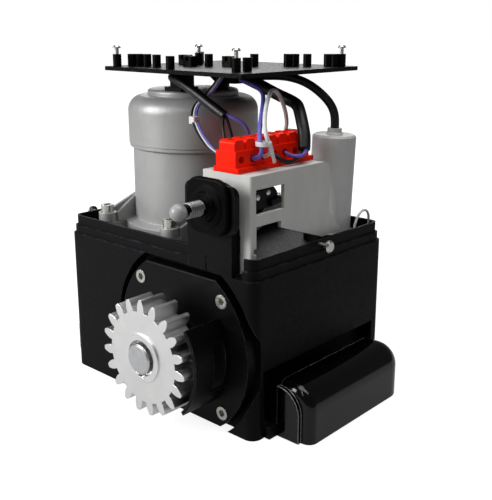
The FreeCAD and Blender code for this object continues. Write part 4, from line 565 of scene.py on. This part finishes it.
# The cords: CAD node, colour, diameter and route in millimetres, from one end to the other.
CORDS = (
    ("capacitor_cable", "black", 6.5,
     ((20.05, 12, 241.4), (31, 18.5, 242.2), (43, 26, 241.7), (54, 32.5, 238), (63, 38.5, 231),
      (70, 44.5, 221.5), (72.45, 47.2, 212), (72.2, 47, 203.65))),
    ("supply_cable", "black", 9,
     ((20.05, 3.5, 240.6), (31, 9, 235.2), (43, 13, 229.2), (54.5, 14, 225.6), (64.5, 11, 223.2),
      (71.5, 5.5, 217.6), (77.5, 1, 210), (82, -2, 202.2), (84.5, -6, 194.6))),
    ("supply_wires", "blue", 2.6,
     ((86.4, -5, 195.4), (87.4, -8.6, 192), (86.8, -12.8, 190.8), (84, -16, 190.8), (80.4, -17.8, 191.6),
      (77.05, -18, 193))),
    ("supply_wires", "black", 3,
     ((83.4, -7.2, 193.8), (84, -11.6, 190.4), (84.4, -17, 187.6), (84, -22.4, 187.2),
      (82.2, -26.6, 188.8), (79.8, -28.8, 191), (77.05, -29.2, 193))),
    ("motor_cable", "black", 7,
     ((-21, -30.05, 240.8), (-19, -35.6, 241.5), (-11.5, -39.8, 241.2), (-1.5, -41, 238),
      (11, -42, 232.9), (24, -43.2, 227.2), (35, -44, 222.3), (43.5, -43.5, 218))),
    ("motor_wires", "blue", 2.4,
     ((44.1, -42.6, 219.3), (47, -41.8, 217.6), (50.8, -39.6, 215.6), (54.6, -36.6, 213.2),
      (56.2, -33.8, 208.8), (56, -31.6, 203), (55.8, -30.2, 198), (56.2, -29.5, 194.6),
      (58.95, -29.2, 193))),
    ("motor_wires", "black", 2.2,
     ((43.1, -42.2, 217.3), (45.4, -42.6, 214.4), (47.6, -43.2, 210.6), (49.4, -43.4, 206),
      (50.6, -43, 201.2), (52.7, -42.2, 197), (55.6, -41.2, 194.2), (58.95, -40.4, 193))),
    ("motor_wires", "black", 2.2,
     ((43.3, -44.9, 217.5), (44.8, -46.8, 214.4), (46.8, -49, 210.6), (49.2, -50.5, 206),
      (51.4, -51.2, 201.2), (53.6, -51.6, 197), (56, -51.8, 194.4), (58.95, -51.6, 193))),
    ("blue_wire", "blue", 3.2,
     ((20.05, -3, 239.6), (31, -4, 237.6), (42, -7, 235), (53, -14, 232.4), (62, -24, 228.4),
      (70, -34.5, 222), (76, -43.5, 213.5), (80.6, -49.4, 205.4), (84.6, -50.8, 200), (84, -51.5, 196.2),
      (81, -51.8, 193.6), (77.05, -51.6, 193))),
    ("white_wire", "white", 3,
     ((77.05, -40.4, 193), (82.8, -40.8, 194.6), (85.4, -43.6, 200), (84.6, -46.6, 207.4),
      (80.6, -44.4, 215.8), (75.5, -37.2, 224.4), (69.6, -27.6, 231.6), (64, -17, 235.8),
      (60.4, -7, 233.2), (58.8, 1, 225.2), (58.2, 6, 215.6), (57.2, 8, 206.4), (53.6, 7.6, 199.8),
      (52.4, 6.2, 195.8), (55.3, 4.8, 193.1), (58.95, 4.4, 193))),
    ("earth_wire", "white", 2,
     ((90, 50.2, 117.2), (90.7, 50, 124), (91.4, 50.4, 130.6), (92, 53, 136.6), (92.5, 57.8, 140.4),
      (92.6, 63, 140.2), (92.2, 67.4, 136.4), (91.4, 69.4, 130.2), (90.4, 69.2, 123.6), (89.2, 68, 117.2))),
)
# three wires side by side; each is the middle one moved by this step
BUNDLE = ((25, -26.4, 245.5), (23.4, -28.8, 240.2), (20.2, -32, 234.4), (16.8, -36, 228.2),
          (13.5, -41, 224.1), (15, -46, 218), (20.4, -50, 212.4), (28.4, -54, 206.4), (38.3, -58, 200.8),
          (48.9, -61, 195.6), (58.95, -61.6, 193))
BUNDLE_STEP = (1.25, 1.13, 0)
BUNDLE_DIAMETER = 1.6
BUNDLE_END_SPREAD = 1.5
CORD_SLOTS = {"black": "cable_black", "blue": "wire_blue", "white": "wire_white"}


def cord(name, node, points, diameter, finish):
    """One wire along its route, in place of its plain CAD tube."""
    piece = tube(name, [[value * MM for value in point] for point in points], diameter * MM, finish)
    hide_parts(node)
    fix_to_frame(piece)


def make_cords(finishes):
    for number, (node, colour, diameter, points) in enumerate(CORDS):
        slot = CORD_SLOTS[colour]
        cord(f"cord_{number}_{node}", node, points, diameter, finishes[slot])
    end_x, end_y, end_z = BUNDLE[-1]
    for strand, colour in ((-1, "black"), (0, "white"), (1, "blue")):
        slot = CORD_SLOTS[colour]
        points = [[value + strand * step for value, step in zip(point, BUNDLE_STEP)] for point in BUNDLE[:-1]]
        points.append((end_x, end_y + strand * BUNDLE_STEP[1] * BUNDLE_END_SPREAD, end_z))
        cord(f"bundle_{colour}", "bundle_wires", points, BUNDLE_DIAMETER, finishes[slot])


# ------------------------------------------------------------ stage and camera


def make_world():
    """White to the camera, with a share of that in reflections, and a soft even fill for the rest."""
    world = bpy.data.worlds.new("studio")
    bpy.context.scene.world = world
    world.use_nodes = True
    tree = world.node_tree
    background = tree.nodes["Background"]
    background.inputs["Color"].default_value = (1, 1, 1, 1)
    path = tree.nodes.new("ShaderNodeLightPath")
    seen = tree.nodes.new("ShaderNodeMath")
    seen.operation = "MULTIPLY_ADD"
    seen.inputs[1].default_value = REFLECTED_WORLD
    tree.links.new(path.outputs["Is Glossy Ray"], seen.inputs[0])
    tree.links.new(path.outputs["Is Camera Ray"], seen.inputs[2])
    strength = tree.nodes.new("ShaderNodeMapRange")
    strength.inputs["To Min"].default_value = AMBIENT
    strength.inputs["To Max"].default_value = 1.0
    tree.links.new(seen.outputs[0], strength.inputs["Value"])
    tree.links.new(strength.outputs["Result"], background.inputs["Strength"])


def make_floor():
    """A wide pale floor, white to the camera far out, that takes the object's shadow near it."""
    bpy.ops.mesh.primitive_plane_add(size=24, location=(0, 0, -0.4 * MM))
    floor = bpy.context.object
    floor.name = "floor"
    material = bpy.data.materials.new("floor_paper")
    material.use_nodes = True
    tree = material.node_tree
    shader = tree.nodes["Principled BSDF"]
    shader.inputs["Roughness"].default_value = 0.9
    shader.inputs["Specular IOR Level"].default_value = 0.1
    shader.inputs["Base Color"].default_value = (0.3, 0.3, 0.3, 1)
    shader.inputs["Emission Color"].default_value = (1, 1, 1, 1)
    path = tree.nodes.new("ShaderNodeLightPath")
    place = tree.nodes.new("ShaderNodeTexCoord")
    reach = tree.nodes.new("ShaderNodeVectorMath")
    reach.operation = "LENGTH"
    tree.links.new(place.outputs["Object"], reach.inputs[0])
    far_white = tree.nodes.new("ShaderNodeMapRange")
    for name, value in (("From Min", 0.25), ("From Max", 0.9), ("To Min", 0.86), ("To Max", 1.0)):
        far_white.inputs[name].default_value = value
    tree.links.new(reach.outputs["Value"], far_white.inputs["Value"])
    reflected = tree.nodes.new("ShaderNodeMath")
    reflected.operation = "MULTIPLY"
    reflected.inputs[1].default_value = REFLECTED_FLOOR
    tree.links.new(path.outputs["Is Glossy Ray"], reflected.inputs[0])
    glow = tree.nodes.new("ShaderNodeMath")
    glow.operation = "MULTIPLY_ADD"
    tree.links.new(path.outputs["Is Camera Ray"], glow.inputs[0])
    tree.links.new(far_white.outputs["Result"], glow.inputs[1])
    tree.links.new(reflected.outputs[0], glow.inputs[2])
    tree.links.new(glow.outputs[0], shader.inputs["Emission Strength"])
    floor.data.materials.append(material)


def aim(thing, target):
    direction = Vector(target) - thing.location
    thing.rotation_euler = direction.to_track_quat("-Z", "Y").to_euler()


def softbox(name, place, target, width, height, power):
    """A rectangular area lamp at place that faces target."""
    lamp = bpy.data.lights.new(name, "AREA")
    lamp.shape = "RECTANGLE"
    lamp.size = width
    lamp.size_y = height
    lamp.energy = power
    stand = bpy.data.objects.new(name, lamp)
    bpy.context.scene.collection.objects.link(stand)
    stand.location = place
    aim(stand, target)


def make_lights():
    """A large key from the left front, a weak fill, one behind, and a strip for the glossy covers."""
    centre = (0, 0, 0.12)
    right_cover = (0.12, -0.03, 0.03)
    softbox("key", (-0.75, -1.25, 0.75), centre, 0.8, 0.8, 28)
    softbox("top", (0.1, -0.1, 1.5), centre, 1.0, 1.0, 12)
    softbox("fill", (0.7, 0.1, 1.3), centre, 0.5, 0.5, 2.5)
    softbox("back", (-0.9, 1.0, 0.9), centre, 0.8, 0.8, 6)
    softbox("strip", (0.35, -0.9, 1.1), right_cover, 0.06, 0.8, 1.5)


def make_camera():
    """The camera at the photograph's viewing angle, 42 degrees to the right and 15 degrees up."""
    lens = bpy.data.cameras.new("camera")
    lens.sensor_fit = "HORIZONTAL"
    lens.sensor_width = 36
    lens.lens = 57.19
    lens.shift_x = 0.0013
    lens.shift_y = -0.0372
    lens.clip_start = 0.01
    lens.clip_end = 50
    camera = bpy.data.objects.new("camera", lens)
    bpy.context.scene.collection.objects.link(camera)
    camera.location = (0.4219, -0.4376, 0.2804)
    aim(camera, (0.0232, 0, 0.12235))
    bpy.context.scene.camera = camera


# ----------------------------------------------------------------------- scene

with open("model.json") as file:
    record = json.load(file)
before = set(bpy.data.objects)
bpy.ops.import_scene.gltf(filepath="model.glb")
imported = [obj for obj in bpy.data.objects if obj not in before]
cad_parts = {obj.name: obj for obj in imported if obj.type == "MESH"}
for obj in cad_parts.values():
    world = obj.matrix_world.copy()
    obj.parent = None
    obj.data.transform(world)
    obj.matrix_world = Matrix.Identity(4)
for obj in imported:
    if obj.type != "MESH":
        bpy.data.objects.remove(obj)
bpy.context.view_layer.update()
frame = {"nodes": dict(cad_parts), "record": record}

finishes = dress_nodes(frame["record"], frame["nodes"])
coil_spring(spring_steel())
switch_holder(finishes)
foot_webs(finishes)
make_cords(finishes)

make_world()
make_floor()
make_lights()
make_camera()
bpy.context.scene.view_settings.view_transform = "Standard"
